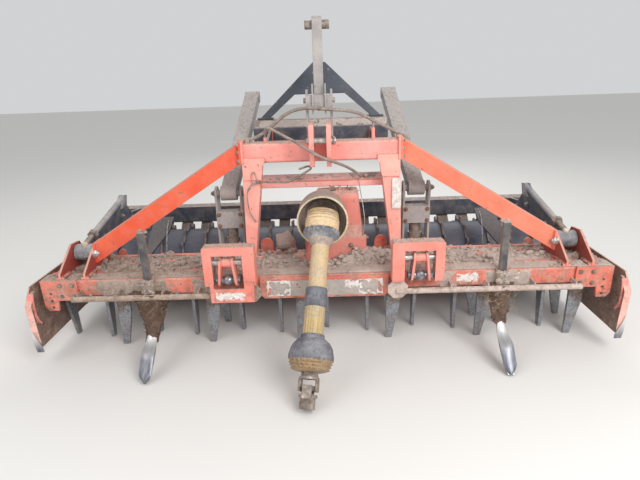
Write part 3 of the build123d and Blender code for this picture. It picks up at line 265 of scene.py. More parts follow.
# Finishes by kind; the columns after the name are given beside each kind
finishKinds = (
    (machineEnamel, {  # fresh and faded colour, dust on top, mud low down, wear, chips, film, dust colours
     "redFrame": ("sunBleachedRedEnamel", "#EE8A7E", "#F2A39A", 0.8, 0.7, 0.5, 0.5, 0.35),
     "redBar": ("chalkyRedEnamel", "#F6A9A0", "#FABDB5", 0.55, 0.0, 0.5, 0.5, 0.2,
         ("#CBB5AE", "#AD978F")),
     "redPortal": ("hitchRedEnamel", "#E67C6C", "#EC9184", 0.8, 0.7, 0.6, 0.6, 0.35),
     "redBox": ("castingRedEnamel", "#D9786B", "#E08B7E", 0.8, 0.7, 0.4, 0.5, 0.5),
     "redLegs": ("chalkedRedEnamel", "#F49A8B", "#F8B3A5", 0.8, 0.5, 0.5, 0.5, 0.35),
     # the two braces share one paint: the right one's lighter copy is painted sheen of the sky on the glossy
     # enamel
     "redBraceLeft": ("leftBraceRedEnamel", "#DF4C29", "#E4603D", 0.5, 0.4, 0.35, 0.3, 0.35),
     "redBraceRight": ("rightBraceRedEnamelWithPaintedSheen", "#EC6F50", "#EE8468", 0.5, 0.4, 0.35, 0.3, 0.35),
     "redBracket": ("dullRedEnamel", "#E88574", "#EE9C8E", 0.6, 0.3, 0.6, 0.5, 0.4),
     # dark copy of the red for the brackets' side faces: painted shade
     "bracketFace": ("shadedSideFaceRedEnamel", "#93392E", "#A04A40", 0.4, 0.25, 0.5, 0.5, 0.25),
     # dark copy of the red for the side plates' inward faces: painted shade, with real dust and mud on it
     "sideInner": ("shadedSoilStainedEnamel", "#5E4138", "#74544A", 0.9, 0.9, 0.4, 0.5, 0.8),
     "redLow": ("muddyRedEnamel", "#DE5F48", "#E58370", 0.95, 0.95, 0.9, 0.9, 0.7),
     "redCap": ("rubbedRedEnamel", "#E2604B", "#EA8070", 0.3, 0.3, 0.6, 0.5, 0.3),
     "redSide": ("scuffedRedEnamel", "#F2AA9C", "#F6BFB4", 0.8, 0.3, 0.8, 0.8, 0.5),
     "blueFrame": ("dustyBlueBlackEnamel", "#333B48", "#454D5A", 0.7, 0.5, 0.3, 0.5, 0.35),
     "blueClean": ("blueBlackEnamel", "#2E343E", "#3C434E", 0.22, 0.3, 0.35, 0.5, 0.14),
     "chippedDark": ("chippedDarkEnamel", "#34373C", "#4A4C50", 0.8, 0.3, 0.9, 1.0, 0.35),
     "blueDrum": ("dustyBlueDrumEnamel", "#2F3A4C", "#435066", 0.16, 0.2, 0.3, 0.5, 0.5),
     "tanArm": ("dustCakedEnamel", "#8E8987", "#A9A3A0", 0.95, 0.6, 0.3, 0.5, 0.7,
         ("#ADA5A0", "#8F8580")),
     "tanBar": ("soilCakedTubeEnamel", "#937E70", "#A5917F", 0.9, 0.9, 0.4, 0.5, 0.9),
     "tanBarRight": ("paleCakedTubeEnamel", "#B7A297", "#C5B2A7", 0.9, 0.7, 0.4, 0.5, 0.9,
         ("#C6B4A9", "#A39186")),
     "weldBead": ("paintedWeldBead", "#E2705A", "#EC8C7A", 0.8, 0.8, 0.3, 0.5, 0.35),
     "blueBead": ("blueWeldBead", "#333B48", "#454D5A", 0.7, 0.6, 0.3, 0.5, 0.35),
     }),
    (driedLoam, {  # pale, dark and crumb colour; the crumb colour also lightens the right side as painted light
     "loam": ("driedLoam", "#CBB0A1", "#927D6D", "#F3E0D4"),
     "loamPale": ("paleDustedLoam", "#D6C4BA", "#B8A69B", "#E6DAD2"),
     "loamDamp": ("packedDampLoam", "#82695B", "#58453A", "#967D6F"),
     "straw": ("dryStraw", "#D9C5A2", "#B09A78", "#E3D3B4"),
     }),
    (soilWornSteel, {  # height where the soil starts and ends, cake
     "tines": ("soilPolishedTineSteel", 0.19, 0.30, 0.8),
     "eradicator": ("soilPolishedPointSteel", 0.12, 0.30, 0.9),
     "roller": ("packerRollerSteel", -0.5, 0.1, 0.8),
     }),
    (mouldedGuard, {  # clean and worn colour, grime, dust colours
     "yellow": ("yellowGuardPlastic", "#C9AF83", "#BC9F73", 0.75, ("#C4B29E", "#A4927E")),
     "yellowLow": ("scuffedYellowPlastic", "#C2A35E", "#B39660", 0.85, ("#B7AC9D", "#978B7B")),
     "bellows": ("dustedBellowsPlastic", "#E3C799", "#D5B88B", 0.6, ("#DAC7B0", "#B7A38D")),
     "bellowsLow": ("mudStainedBellows", "#B3946C", "#9A7E5C", 0.8, ("#AD9A88", "#877566")),
     "black": ("blackGuardPlastic", "#4B4D55", "#3A3C43", 0.8, ("#8B8B90", "#6C6C72")),
     "blackDusty": ("dustedBlackPlastic", "#75767C", "#595A60", 0.9, ("#B8B4B4", "#98938F")),
     "dome": ("greyedGuardDome", "#5F6067", "#484A51", 0.85, ("#989799", "#7B7A7F")),
     "bellShell": ("dustedGuardShell", "#AB9A8E", "#8E7C70", 0.8, ("#BBABA0", "#9A897D")),
     "creamRim": ("creamPlasticRim", "#DCCDB0", "#C2AE8C", 0.5),
     "hoseDust": ("dustedRubberHose", "#8E8078", "#6E625B", 0.8, ("#B0A197", "#8E7E74")),
     }),
    (platedSteel, {  # bright and dull colour, metallic
     "plated": ("dustyPlatedSteel", "#CFCBC6", "#9D948C", 0.75),
     "forged": ("forgedBareSteel", "#A39890", "#7B6C60", 0.35),
     "ball": ("polishedBallSteel", "#A5A7AE", "#6C6D75", 0.9),
     "bright": ("handledBrightSteel", "#E2E0DE", "#B9B4AE", 0.6),
     "rusty": ("rustedSteel", "#7E5A46", "#94705A", 0.15),
     }),
    (sharePointWithPaintedHighlight, {  # height where the painted highlight starts and where it is full
     "scoured": ("scouredShareSteelWithPaintedHighlight", 0.10, 0.17),
     }),
    (wornVinyl, {
     "wornLabel": ("wornBlankVinyl",),
     }),
)
finishes = {key: make(*row) for make, rows in finishKinds for key, row in rows.items()}
print("finishes made:", len(finishes))


def makeActive(obj):
    for other in bpy.context.selected_objects:
        other.select_set(False)
    obj.select_set(True)
    bpy.context.view_layer.objects.active = obj


def applyModifiers(obj):
    makeActive(obj)
    for modifier in list(obj.modifiers):
        bpy.ops.object.modifier_apply(modifier=modifier.name)


def settle(obj, name, body, finish):
    # bakes the piece's place into its mesh, names it and hangs it on its body
    makeActive(obj)
    bpy.ops.object.transform_apply(location=True, rotation=True, scale=True)
    obj.name = name
    obj.data.materials.clear()
    obj.data.materials.append(finishes[finish])
    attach(obj, body)
    return obj


def turnedArea(obj):
    # area in m2 of the triangles that face against their own polygon
    obj.data.calc_loop_triangles()
    faces = obj.data.polygons
    return sum(t.area for t in obj.data.loop_triangles if t.normal.dot(faces[t.polygon_index].normal) < 0.5)


def roundedCopy(node, edge, merge):
    obj = addObject(node + "_dressed", nodes[node].data.copy())
    makeActive(obj)
    bpy.ops.object.mode_set(mode="EDIT")
    bpy.ops.mesh.select_all(action="SELECT")
    bpy.ops.mesh.remove_doubles(threshold=0.00002)
    if merge:
        bpy.ops.mesh.dissolve_limited(angle_limit=radians(0.5))
    bpy.ops.object.mode_set(mode="OBJECT")
    if edge:
        bevel = obj.modifiers.new("edges", "BEVEL")
        bevel.width = edge
        bevel.segments = 2
        bevel.limit_method = "ANGLE"
        bevel.angle_limit = radians(40)
        applyModifiers(obj)
    return obj


# Each CAD node is dressed: a merged copy with its edges rounded as ground or rolled steel has them.
# A copy whose faces fold over in the rounding is made again with smaller edges or unmerged faces.
def dressNode(node, edge, finish):
    for share, merge in ((1, True), (0.5, True), (1, False), (0.25, True), (0, True), (0, False)):
        obj = roundedCopy(node, edge * share, merge)
        if turnedArea(obj) < 0.0003:
            break
        if share or merge:
            bpy.data.objects.remove(obj)
    makeActive(obj)
    bpy.ops.object.shade_smooth_by_angle(angle=radians(38))
    if edge:
        weighted = obj.modifiers.new("faces", "WEIGHTED_NORMAL")
        weighted.keep_sharp = True
        applyModifiers(obj)
    settle(obj, node + "_dressed", bodyOf[node], finish)
    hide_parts(node)


# Each node: rounding of its edges in metres and its finish
dressing = {
    "trough": (0.003, "redLow"), "trough_cover": (0.0015, "redLow"), "front_beam": (0.0025, "redLow"),
    "guard_bar_left": (0.002, "tanBar"), "guard_bar_right": (0.002, "tanBarRight"),
    "top_beam": (0.003, "redFrame"), "cross_bar": (0.005, "redBar"), "top_link_bracket": (0.0015, "redFrame"),
    "gearbox": (0.005, "redBox"), "rear_bar": (0.004, "blueFrame"), "a_frame": (0.002, "blueClean"),
    "roller_frame": (0.003, "blueFrame"), "upper_lugs": (0.0015, "tanArm"), "top_link_pin": (0.001, "plated"),
    "top_strut": (0.002, "tanArm"), "input_yoke": (0.002, "forged"), "roller": (0.001, "roller"),
    "scrapers": (0.001, "roller"), "input_guard": (0, "bellShell"), "shaft_outer": (0, "yellow"),
    "shaft_inner": (0, "yellowLow"), "hose": (0, "hoseDust"),
}
pairDressing = {
    "eradicator_clamp": (0.002, "tanBar"), "headstock_leg": (0.004, "redLegs"),
    "end_bracket": (0.0015, "redBracket"),
    "hitch_portal": (0.003, "redPortal"), "side_plate": (0.0015, "redSide"), "side_hinge": (0.001, "redLow"),
    "lift_tower": (0.003, "tanArm"), "roller_arm": (0.002, "tanArm"), "lift_arm": (0.003, "tanArm"),
    "eradicator": (0.002, "eradicator"), "hitch_clevis": (0.002, "redPortal"),
    "rear_stay": (0.0015, "blueClean"),
}
for _, word in bothSides:
    # each brace takes its own copy of the red, the right one lighter as painted sheen
    dressing["brace_" + word] = (0.004, "redBrace" + word.capitalize())
    for kind, look in pairDressing.items():
        dressing["%s_%s" % (kind, word)] = look
for word in rotorPlaces:
    dressing[word] = (0.002, "tines")
for node, row in dressing.items():
    dressNode(node, *row)
print("nodes dressed:", len(dressing))


def paintFaces(node, finish, test):
    # gives another finish to the faces whose centre, in metres, passes the test
    obj = bpy.data.objects[node + "_dressed"]
    slot = len(obj.data.materials)
    obj.data.materials.append(finishes[finish])
    for face in obj.data.polygons:
        if test(face.center, face.normal):
            face.material_index = slot


def spot(x, y, z):
    # millimetres across, back from the harrow's front line and up
    return Vector((x / 1000, frontLine + y / 1000, z / 1000))


def alongShaft(point):
    return (point - shaftJoint).dot(shaftRun) * 1000


def fromLine(point, place, axis):
    # mm from the line that runs through the place
    away = point - spot(*place)
    return (away - axis * away.dot(axis)).length * 1000


# Two-colour pieces: guard tubes with black collars and steel ends, polished balls and pins, bare rims.
# The shaft's bands: node, finish, from and to in mm along it
shaftBands = (
    ("shaft_outer", "bellows", -500, 50), ("shaft_outer", "blackDusty", 50, 96),
    ("shaft_outer", "bellShell", 96, 132),
    ("shaft_inner", "black", 340, 441), ("shaft_inner", "dome", 566, 687),
    ("shaft_inner", "bellowsLow", 687, 741), ("shaft_inner", "forged", 741, 2000),
)
for node, finish, low, high in shaftBands:
    paintFaces(node, finish, lambda at, out: low < alongShaft(at) < high)
for side, word in bothSides:
    ball = (side * hitch["x"], hitch["y"], hitch["ballZ"])
    paintFaces("hitch_clevis_" + word, "ball", lambda at, out: (
        fromLine(at, ball, X) < 31 and abs(at.x - spot(*ball).x) < 0.024
        or fromLine(at, ball, X) < 19.5))
    paintFaces("hitch_portal_" + word, "plated", lambda at, out: (
        fromLine(at, (0, hitch["y"], hitch["rodZ"]), X) < 17))
    paintFaces("lift_tower_" + word, "forged", lambda at, out: (
        fromLine(at, (side * 540, 452, 0), Z) < 42 and 0.48 < at.z < 0.585))
    paintFaces("roller_arm_" + word, "blueFrame", lambda at, out: (
        abs(abs(at.x) - 1.308) < 0.0101 and at.z > 0.5
        and fromLine(at, (side * rodFoot[0], *rodFoot[1:]), rodRun) > 17.5))
paintFaces("input_guard", "bellShell", lambda at, out: (
    out.dot(Vector((at.x, 0, at.z - 0.715)).normalized()) < -0.3))
paintFaces("input_guard", "creamRim", lambda at, out: at.y < frontLine + 0.097)
paintFaces("gearbox", "forged", lambda at, out: (
    fromLine(at, (0, 0, shaftZ), Y) < 60 and at.y < frontLine + 0.208))
paintFaces("roller", "blueDrum", lambda at, out: fromLine(at, (0, 800, 250), X) < 209.5)
paintFaces("top_strut", "forged", lambda at, out: fromLine(at, (0, 372, 1662), X) < 23)
for side, word in bothSides:
    # painted shade: the brackets' side faces take the dark copy of the red
    paintFaces("end_bracket_" + word, "bracketFace", lambda at, out: abs(out.x) > 0.9 and at.z > 0.462)
    # painted shade: the side plates' low inward faces take a dark, soil-stained copy of the red
    paintFaces("side_plate_" + word, "sideInner", lambda at, out: out.x * side < -0.9 and at.z < 0.40)
    # worn bare corner in the share steel, whose upper part carries a painted highlight
    paintFaces("side_plate_" + word, "scoured", lambda at, out: at.y < -0.33 and at.z < 0.21)
    paintFaces("eradicator_" + word, "chippedDark", lambda at, out: at.z > 0.46)
    paintFaces("roller_arm_" + word, "blackDusty", lambda at, out: (
        at.z > 0.5 and at.y > frontLine + 0.52
        and fromLine(at, (side * rodFoot[0], *rodFoot[1:]), rodRun) < 30 or at.y < frontLine + 0.27))
paintFaces("trough_cover", "redCap", lambda at, out: out.z > 0.9 and at.z > 0.4465)
print("faces painted")

# The casing's right side widens to the box below it, its left top corner is cut away
barrelClear = 118
casing = bpy.data.objects["gearbox_dressed"]
for vert in casing.data.vertices:
    if vert.co.x > 0.19 and vert.co.z < 0.596:
        vert.co.x += 0.024
    elif vert.co.x > 0.15 and vert.co.z > 0.7:
        vert.co.x -= 0.014
    elif vert.co.x < -0.06 and vert.co.z > 0.78:
        vert.co.x += 0.075
    elif vert.co.x < -0.06 and vert.co.z > 0.458 and fromLine(vert.co, (0, 0, shaftZ), Y) > barrelClear:
        vert.co.x += 0.045
casing.data.update()


def lathe(bm, base, axis, profile, sides):
    # turns (radius, along) pairs in metres about the axis; a radius of 0 closes the end
    axis = Vector(axis).normalized()
    across = axis.orthogonal().normalized()
    up = axis.cross(across)
    rings = []
    for radius, along in profile:
        count = sides if radius > 1e-6 else 1
        rings.append([bm.verts.new(base + axis * along + radius * (
            across * cos(2 * pi * i / sides) + up * sin(2 * pi * i / sides)))
            for i in range(count)])
    for low, high in zip(rings, rings[1:]):
        for i in range(sides):
            j = (i + 1) % sides
            corners = [low[i % len(low)], low[j % len(low)], high[j % len(high)], high[i % len(high)]]
            corners = list(dict.fromkeys(corners))
            if len(corners) > 2:
                bm.faces.new(corners)


def skin(bm, rows, closed=False):
    # faces between rows of points; closed rows are joined end to end, and the first and last are filled
    for low, high in zip(rows, rows[1:]):
        for j in range(len(low) - (not closed)):
            k = (j + 1) % len(low)
            bm.faces.new([low[j], low[k], high[k], high[j]])
    if closed:
        bm.faces.new(rows[0])
        bm.faces.new(list(reversed(rows[-1])))


def settleMesh(name, bm, body, finish, smooth):
    bmesh.ops.recalc_face_normals(bm, faces=bm.faces)
    mesh = bpy.data.meshes.new(name)
    bm.to_mesh(mesh)
    bm.free()
    obj = addObject(name, mesh)
    makeActive(obj)
    bpy.ops.object.shade_smooth_by_angle(angle=radians(smooth))
    return settle(obj, name, body, finish)


def addBolt(bm, place, axis, size):
    # washer, chamfered hexagon and the stub of its thread; size is the hexagon's outer radius
    for sides, profile in ((16, ((0, 0), (1.25, 0), (1.25, 0.16), (0, 0.16))),
                           (6, ((0, 0.16), (1, 0.16), (1, 0.8), (0.84, 0.95), (0, 0.95))),
                           (10, ((0.52, 0.9), (0.52, 1.25), (0.42, 1.35), (0, 1.35)))):
        lathe(bm, place, axis, [(r * size / 1000, t * size / 1000) for r, t in profile], sides)


def addWeld(bm, start, end):
    # a rippled bead between two points
    radius, run = 0.004, end - start
    steps = max(4, int(run.length / (radius * 0.75)))
    beads = [(radius * (0.78 + 0.34 * abs(sin(1.15 * i))), run.length * i / steps)
             for i in range(steps + 1)]
    lathe(bm, start, run, [(0, 0)] + beads + [(0, run.length)], 7)


# Stretches of the cover's back edge where other pieces stand
freeSpans = ((290, 470), (455, 625), (1020, 1070), (1170, 1230))
# Bolts: body, piece, finish, size, way out, places in mm
boltTable = [
    ("root", "cover_bolts", "forged", 7, Z,
     [(x, 111, 440) for x in range(-1440, 1441, 120)] + [(x, 400, 440) for x in range(-1440, 1441, 120)
      if not any(low < abs(x) < high for low, high in freeSpans)]),
    ("root", "cap_bolts", "forged", 5, Z,
     [(x + 38 * cos(a), rotorY + 38 * sin(a), 448) for x in rotorPlaces.values() if abs(x) > 125
      for a in (0.5, 1.55, 2.6, 3.65, 4.7, 5.75)]),
    ("root", "gearbox_foot_bolts", "forged", 4.5, Z,
     [(x, y, 454) for x in (-111, 218) for y in (220, 280, 340)] + [(x, 197, 454) for x in (-60, 30, 120)]),
]
# Sets on both sides, with the places on the right; a body that ends in _ is that side's own
pairBolts = (
    ("root", "flange_nuts", "plated", 10, X, [(437, y, z) for y in (301, 387) for z in (1000, 1044, 1087)]),
    ("root", "bracket_pins", "plated", 18, X, [(1401, 215, 538)]),
    ("root", "bracket_nuts", "bright", 20, -X, [(1237, 148, 552)]),
    ("root", "brace_nuts", "bright", 12, -X, [(1225, 228, z) for z in (516, 590)]),
    ("root", "bracket_feet", "forged", 6, Z,
     [(x, y, 470) for x in (1229, 1257, 1359, 1387) for y in (30, 84)]),
    ("root", "end_plate_bolts", "forged", 10, -Y, [(x, -2, z) for x in (1310, 1374) for z in (372, 434)]),
    ("root", "clamp_bolts", "plated", 9, -Y, [(shankX + x, -34, z) for x in (-14, 14) for z in (406, 444)]),
    ("root", "leg_feet_bolts", "forged", 8, Z, [(x, 288, 461) for x in (366, 413, 446)] + [(368, 345, 461)]),
    ("root", "tower_bolts", "forged", 11, Z, [(x, 376, 461) for x in (484, 540, 596)]),
    ("root", "tower_block_bolts", "rusty", 10, -Y, [(x, 404, z) for x in (478, 602) for z in (606, 674)]),
    ("root", "tower_pins", "forged", 15, X, [(626, 452, 790)]),
    ("root", "stay_bolts", "forged", 6, Z, [(x, 416, 448) for x in (1036, 1053)]),
    ("roller_frame", "arm_bolts", "plated", 13, -X,
     [(1298, y, z) for y, z in ((420, 560), (700, 600), (860, 548))]),
    ("side_plate_", "side_plate_bolts", "forged", 9, -X,
     [(1530, y, z) for y, z in ((156, 360), (344, 360), (540, 300))]),
)
for side, word in bothSides:
    for body, name, finish, size, way, places in pairBolts:
        boltTable.append((body + word if body[-1] == "_" else body, name + "_" + word, finish, size,
                          Vector((way.x * side, way.y, way.z)), [(side * x, y, z) for x, y, z in places]))
for i, (rotor, x) in enumerate(rotorPlaces.items()):
    boltTable.append((rotor, rotor + "_bolts", "forged", 8, Z,
                      [(x + (b if i % 2 else a), rotorY + (a if i % 2 else b), 288)
                       for a in (-118, 118) for b in (-17, 17)]))
for body, name, finish, size, way, places in boltTable:
    bm = bmesh.new()
    for place in places:
        addBolt(bm, spot(*place), way, size)
    settleMesh(name, bm, body, finish, 30)
print("bolt sets made:", len(boltTable))

# Welds of each body: start x, y, z and end x, y, z in mm, the left side's mirrored to the right
welds = {
    "root": [
        (-318, 300, 985, -318, 390, 985), (-424, 300, 984, -424, 390, 984), (-318, 391, 984, -424, 391, 984),
        (-386, 299, 462, -440, 299, 462), (-441, 300, 461, -441, 390, 461), (-385, 300, 461, -385, 390, 461),
        (-412, 299, 1013, -302, 299, 1013), (-301, 299, 986, -301, 299, 1012),
        (-340, -10, 460, -402, -10, 460), (-552, -10, 460, -598, -10, 460), (-402, -74, 600, -402, -10, 600),
        (-552, -74, 600, -552, -10, 600), (-57, 299, 990, -57, 299, 1088), (-31, 299, 990, -31, 299, 1088),
        (-57, 300, 1091, -57, 368, 1091), (-31, 300, 1091, -31, 368, 1091), (-1290, -1, 352, -1290, -1, 460),
        (-333, 9, 450, 333, 9, 450), (-58, 332, 1091, -58, 398, 1091), (-70, 332, 1091, -70, 398, 1091),
        (-291, 659, 1042, -291, 659, 1118), (-309, 659, 1042, -309, 659, 1118),
        (-312, 710, 1173, -366, 710, 1173), (-298, 398, 441, -372, 398, 441),
        (-1236, 102, 471, -1236, 200, 451), (-1236, 14, 471, -1236, 98, 471),
        (-1250, 14, 471, -1250, 98, 471), (-1366, 14, 471, -1366, 98, 471), (-1380, 14, 471, -1380, 98, 471),
        (-463, 408, 462, -463, 496, 462), (-617, 408, 462, -617, 496, 462), (-462, 405, 690, -462, 470, 690),
        (-400, 391, 861, 400, 391, 861), (-437, 314, 1098, -437, 374, 1098),
        (-437, 313, 998, -437, 313, 1096), (-1225, 159, 512, -1225, 159, 604),
    ],
    "roller_frame": [
        (-1440, 999, 458, -1440, 999, 564), (-1440, 1001, 565, -1440, 1089, 565),
        (-1297, 999, 524, -1297, 999, 562), (-1319, 999, 524, -1319, 999, 562),
    ],
}
stitches = [-370 - 935 * share for share in (0.3, 0.5, 0.75, 0.97)]
welds["root"] += [(x, 8, 374, x, 8, 400) for x in stitches]
for body, rows in welds.items():
    bm = bmesh.new()
    for x, y, z, endX, endY, endZ in rows:
        for mirror in ((1,) if abs(x + endX) < 1 and x else (1, -1)):
            addWeld(bm, spot(x * mirror, y, z), spot(endX * mirror, endY, endZ))
    settleMesh(body + "_welds", bm, body, "weldBead" if body == "root" else "blueBead",
               50)
print("welds laid")


def pipe(name, body, finish, radius, points):
    # a smooth tube through the pull of its points
    curve = bpy.data.curves.new(name, "CURVE")
    curve.dimensions = "3D"
    spline = curve.splines.new("NURBS")
    spline.points.add(len(points) - 1)
    for point, place in zip(spline.points, points):
        point.co = (*spot(*place), 1)
    spline.order_u = 3
    spline.use_endpoint_u = True
    spline.resolution_u = 8
    curve.bevel_depth = radius
    curve.bevel_resolution = 5
    curve.use_fill_caps = True
    makeActive(addObject(name, curve))
    bpy.ops.object.convert(target="MESH")
    obj = bpy.context.active_object
    bpy.ops.object.shade_smooth_by_angle(angle=radians(50))
    settle(obj, name, body, finish)


# Thin rods, rings and cables: piece, body, finish, radius in metres and the points in mm
pipeTable = [
    ("hook_rod", "root", "forged", 0.0055,
     [(-357, 290, 885), (-330, 288, 885), (-240, 274, 885), (-190, 268, 884), (-172, 266, 888),
      (-118, 262, 918),
      (-62, 261, 948), (-52, 261, 958), (-60, 261, 970), (-84, 261, 966), (-104, 262, 958),
      (-118, 264, 955)]),
    ("clip_wire", "root", "plated", 0.0025,
     [(-350, 289, 876), (-364, 286, 868), (-377, 286, 880), (-378, 286, 930), (-368, 286, 944),
      (-356, 286, 936),
      (-350, 288, 900)]),
    ("thin_cable", "root", "blackDusty", 0.003,
     [(-352, 288, 884), (-384, 280, 872), (-404, 276, 840), (-408, 276, 780), (-400, 280, 720),
      (-384, 287, 684),
      (-372, 292, 660)]),
    ("second_hose", "root", "hoseDust", 0.0075,
     [(-297, 345, 1132), (-290, 312, 1168), (-262, 292, 1170), (-206, 276, 1138), (-150, 250, 1112),
      (-104, 200, 1092), (-50, 148, 1066), (10, 140, 1030), (70, 190, 1000), (130, 270, 962), (180, 330, 922),
      (212, 372, 888), (220, 392, 876)]),
    ("lead_wire", "root", "plated", 0.0022,
     [(206, 392, 864), (207, 376, 858), (206, 330, 846), (212, 262, 800), (224, 226, 720), (228, 214, 650),
      (216, 206, 590)]),
]
for side, word in bothSides:
    pin = side * hitch["x"] + side * 66
    pipeTable += [
        ("pin_ring_" + word, "hitch_clevis_" + word, "plated", 0.0022,
         [(pin, hitch["y"] + 15 * cos(a), 474 + 15 * sin(a))
          for a in (0.4, 1.4, 2.4, 3.4, 4.4, 5.4)]),
        ("stay_wire_" + word, "root", "plated", 0.0026,
         [(side * x, y, z) for x, y, z in (
             (968, 604, 588), (962, 540, 566), (948, 470, 520), (940, 424, 476), (938, 408, 450))]),
    ]
for row in pipeTable:
    pipe(*row)

# Clips that hold the two hoses: foot and top in mm of each post, with a strap round the hose
bm = bmesh.new()
for foot, top in (((-297, 344, 1116), (-292, 343, 1143)), ((0, 316, 1262), (0, 287, 1262)),
                  ((283, 345, 1150), (284, 350, 1185))):
    a, b = spot(*foot), spot(*top)
    lathe(bm, a, b - a, [(0, 0), (0.006, 0), (0.006, (b - a).length), (0, (b - a).length)], 10)
    lathe(bm, b - X * 0.008, X, [(0.0125, 0), (0.0125, 0.016), (0.0092, 0.016), (0.0092, 0), (0.0125, 0)], 20)
settleMesh("hose_clips", bm, "root", "forged", 30)

# Small turned and machined pieces: top link pin's linch pin, adjuster ends, filler plugs, grease nipples
bm = bmesh.new()
lathe(bm, spot(61, 195, 1088), Z, [(0, 0), (0.0045, 0.001), (0.0045, 0.046), (0, 0.047)], 10)
for x, y, z, way, size in (
        (60, 300, 828, Z, 15), (160, 300, 828, Z, 11), (236, 262, 560, X, 12), (-96, 262, 640, -X, 12),
        (150, 202, 540, -Y, 11), (-60, 202, 540, -Y, 9)):
    addBolt(bm, spot(x, y, z), way, size)
for i in range(10):
    a = 2 * pi * i / 10 + 0.3
    addBolt(bm, spot(103 * cos(a), 222, shaftZ + 103 * sin(a)), -Y, 8)
settleMesh("gearbox_fittings", bm, "root", "forged", 30)
for side, word in bothSides:
    bm = bmesh.new()
    low = spot(side * rodFoot[0], *rodFoot[1:])
    threads = [(0.0135 + 0.0022 * (i % 2), 0.004 * i) for i in range(34)]
    lathe(bm, low - rodRun * 0.11, rodRun, [(0, 0)] + threads + [(0, 0.136)], 14)
    lathe(bm, low - rodRun * 0.015, rodRun,
          [(0, 0), (0.027, 0), (0.029, 0.004), (0.029, 0.026), (0.027, 0.03), (0, 0.03)], 6)
    settleMesh("adjuster_thread_" + word, bm, "roller_frame", "forged", 35)
    bm = bmesh.new()
    knob, turns = 0.016, [pi * i / 10 for i in range(1, 10)]
    lathe(bm, low - rodRun * 0.125, rodRun,
          [(0, 0)] + [(knob * sin(t), knob - knob * cos(t)) for t in turns] + [(0, 2 * knob)], 20)
    settleMesh("adjuster_knob_" + word, bm, "roller_frame", "creamRim", 60)
bm = bmesh.new()
lathe(bm, spot(0, 90, shaftZ), Y, [
    (0.1275, 0.01), (0.1295, 0.01), (0.1295, 0.146), (0.124, 0.158), (0.096, 0.166),
    (0.096, 0.162), (0.121, 0.155), (0.1265, 0.144), (0.1275, 0.01)], 64)
settleMesh("input_guard_shell", bm, "root", "bellShell", 40)

# Upper folds of the bellows, an arc over the joint that the bell leaves open
across = shaftRun.cross(Y).normalized()
over = across.cross(shaftRun).normalized()
over = over if over.z > 0 else -over
bm = bmesh.new()
rows = []
for i in range(41):
    along = (-52 + 1.45 * i) / 1000
    radius = (79 + 4.2 * abs(sin(0.32 * i)) - 0.10 * max(0, 12 - i) ** 1.6) / 1000
    rows.append([bm.verts.new(shaftJoint + shaftRun * along + radius * (
        across * sin(a) + over * cos(a))) for a in (radians(-96 + 6 * j) for j in range(33))])
skin(bm, rows)
bmesh.ops.solidify(bm, geom=bm.faces[:], thickness=0.002)
settleMesh("bellows_folds", bm, "shaft_outer", "bellows", 50)

# Bent straps that hold the side plates' front flanges
for side, word in bothSides:
    bm = bmesh.new()
    path = ((-44, 408), (-54, 372), (-58, 330), (-56, 290), (-46, 256), (-28, 232))
    section = ((1498, 0), (1529, 0), (1529, 7), (1498, 7))
    rows = [[bm.verts.new(spot(side * x, y + d, z + d * 0.3)) for x, d in section] for y, z in path]
    skin(bm, rows, True)
    # worn bare patch at the front corner, in the share steel whose upper part carries a painted highlight
    worn = bmesh.new()
    rim = ((1493, 84), (1531, 84), (1538, 122), (1538, 226), (1524, 176), (1508, 138), (1493, 112))
    worn.faces.new([worn.verts.new(spot(side * x, -72.7, z)) for x, z in rim])
    settleMesh("side_wear_" + word, worn, "side_plate_" + word, "scoured", 50)
    settleMesh("side_strap_" + word, bm, "side_plate_" + word, "redFrame", 50)
bm = bmesh.new()
lathe(bm, spot(-125, 304, 439), Z, [(0, 0), (0.05, 0), (0.05, 0.011), (0.045, 0.015), (0, 0.016)], 40)
settleMesh("end_cap", bm, "root", "redFrame", 40)
print("rods, clips and fittings made")


def fillGrid(bm, grid, kept):
    # a face in each cell of a grid of points that is kept, with no loose points left
    for i, j in grid:
        if (i + 1, j + 1) in grid and kept(i, j):
            bm.faces.new([grid[c] for c in ((i, j), (i + 1, j), (i + 1, j + 1), (i, j + 1))])
    bmesh.ops.delete(bm, geom=[v for v in bm.verts if not v.link_faces], context="VERTS")


def crust(name, body, corner, along, across, out, step, thickness, finish="loam"):
    # a layer of soil: a grid from the corner, raised by thickness(u, v) in mm and left out where that is thin
    bm = bmesh.new()
    columns, rows = int(along.length * 1000 / step), int(across.length * 1000 / step)
    a, c = along.normalized() * step / 1000, across.normalized() * step / 1000
    grid, depths = {}, {}
    for i in range(columns + 1):
        for j in range(rows + 1):
            depth = thickness(i * step, j * step)
            if min(i, j, columns - i, rows - j) == 0:
                depth = min(depth, -0.5)
            grid[i, j] = bm.verts.new(corner + a * i + c * j + out * (max(depth, -1.5) / 1000))
            depths[i, j] = depth
    fillGrid(bm, grid, lambda i, j: max(depths[i + d, j + e] for d in (0, 1) for e in (0, 1)) > 0)
    obj = settleMesh(name, bm, body, finish, 180)
    if obj.data.polygons and obj.data.polygons[0].normal.dot(out) < 0:
        obj.data.flip_normals()


def rough(x, y, scale, seed=0.0):
    return noise.noise(Vector((x / scale, y / scale, seed)))


def hump(x, y, cx, cy, wide, deep, high):
    return high * exp(-((x - cx) / wide) ** 2 - ((y - cy) / deep) ** 2)


# Heaps of soil left on the cover: middle in mm, half widths, height
heaps = (
    (-250, 190, 110, 60, 42), (-640, 200, 150, 70, 26), (-1110, 190, 150, 70, 30), (-900, 150, 110, 60, 34),
    (-1330, 240, 120, 80, 24), (232, 200, 80, 62, 74), (330, 205, 60, 62, 62), (150, 160, 80, 40, 50),
    (660, 190, 140, 70, 26), (905, 150, 120, 60, 30), (1150, 220, 150, 80, 24), (1380, 180, 90, 70, 30),
    (-470, 300, 90, 60, 22),
    (0, 160, 120, 40, 26), (520, 300, 90, 60, 20))


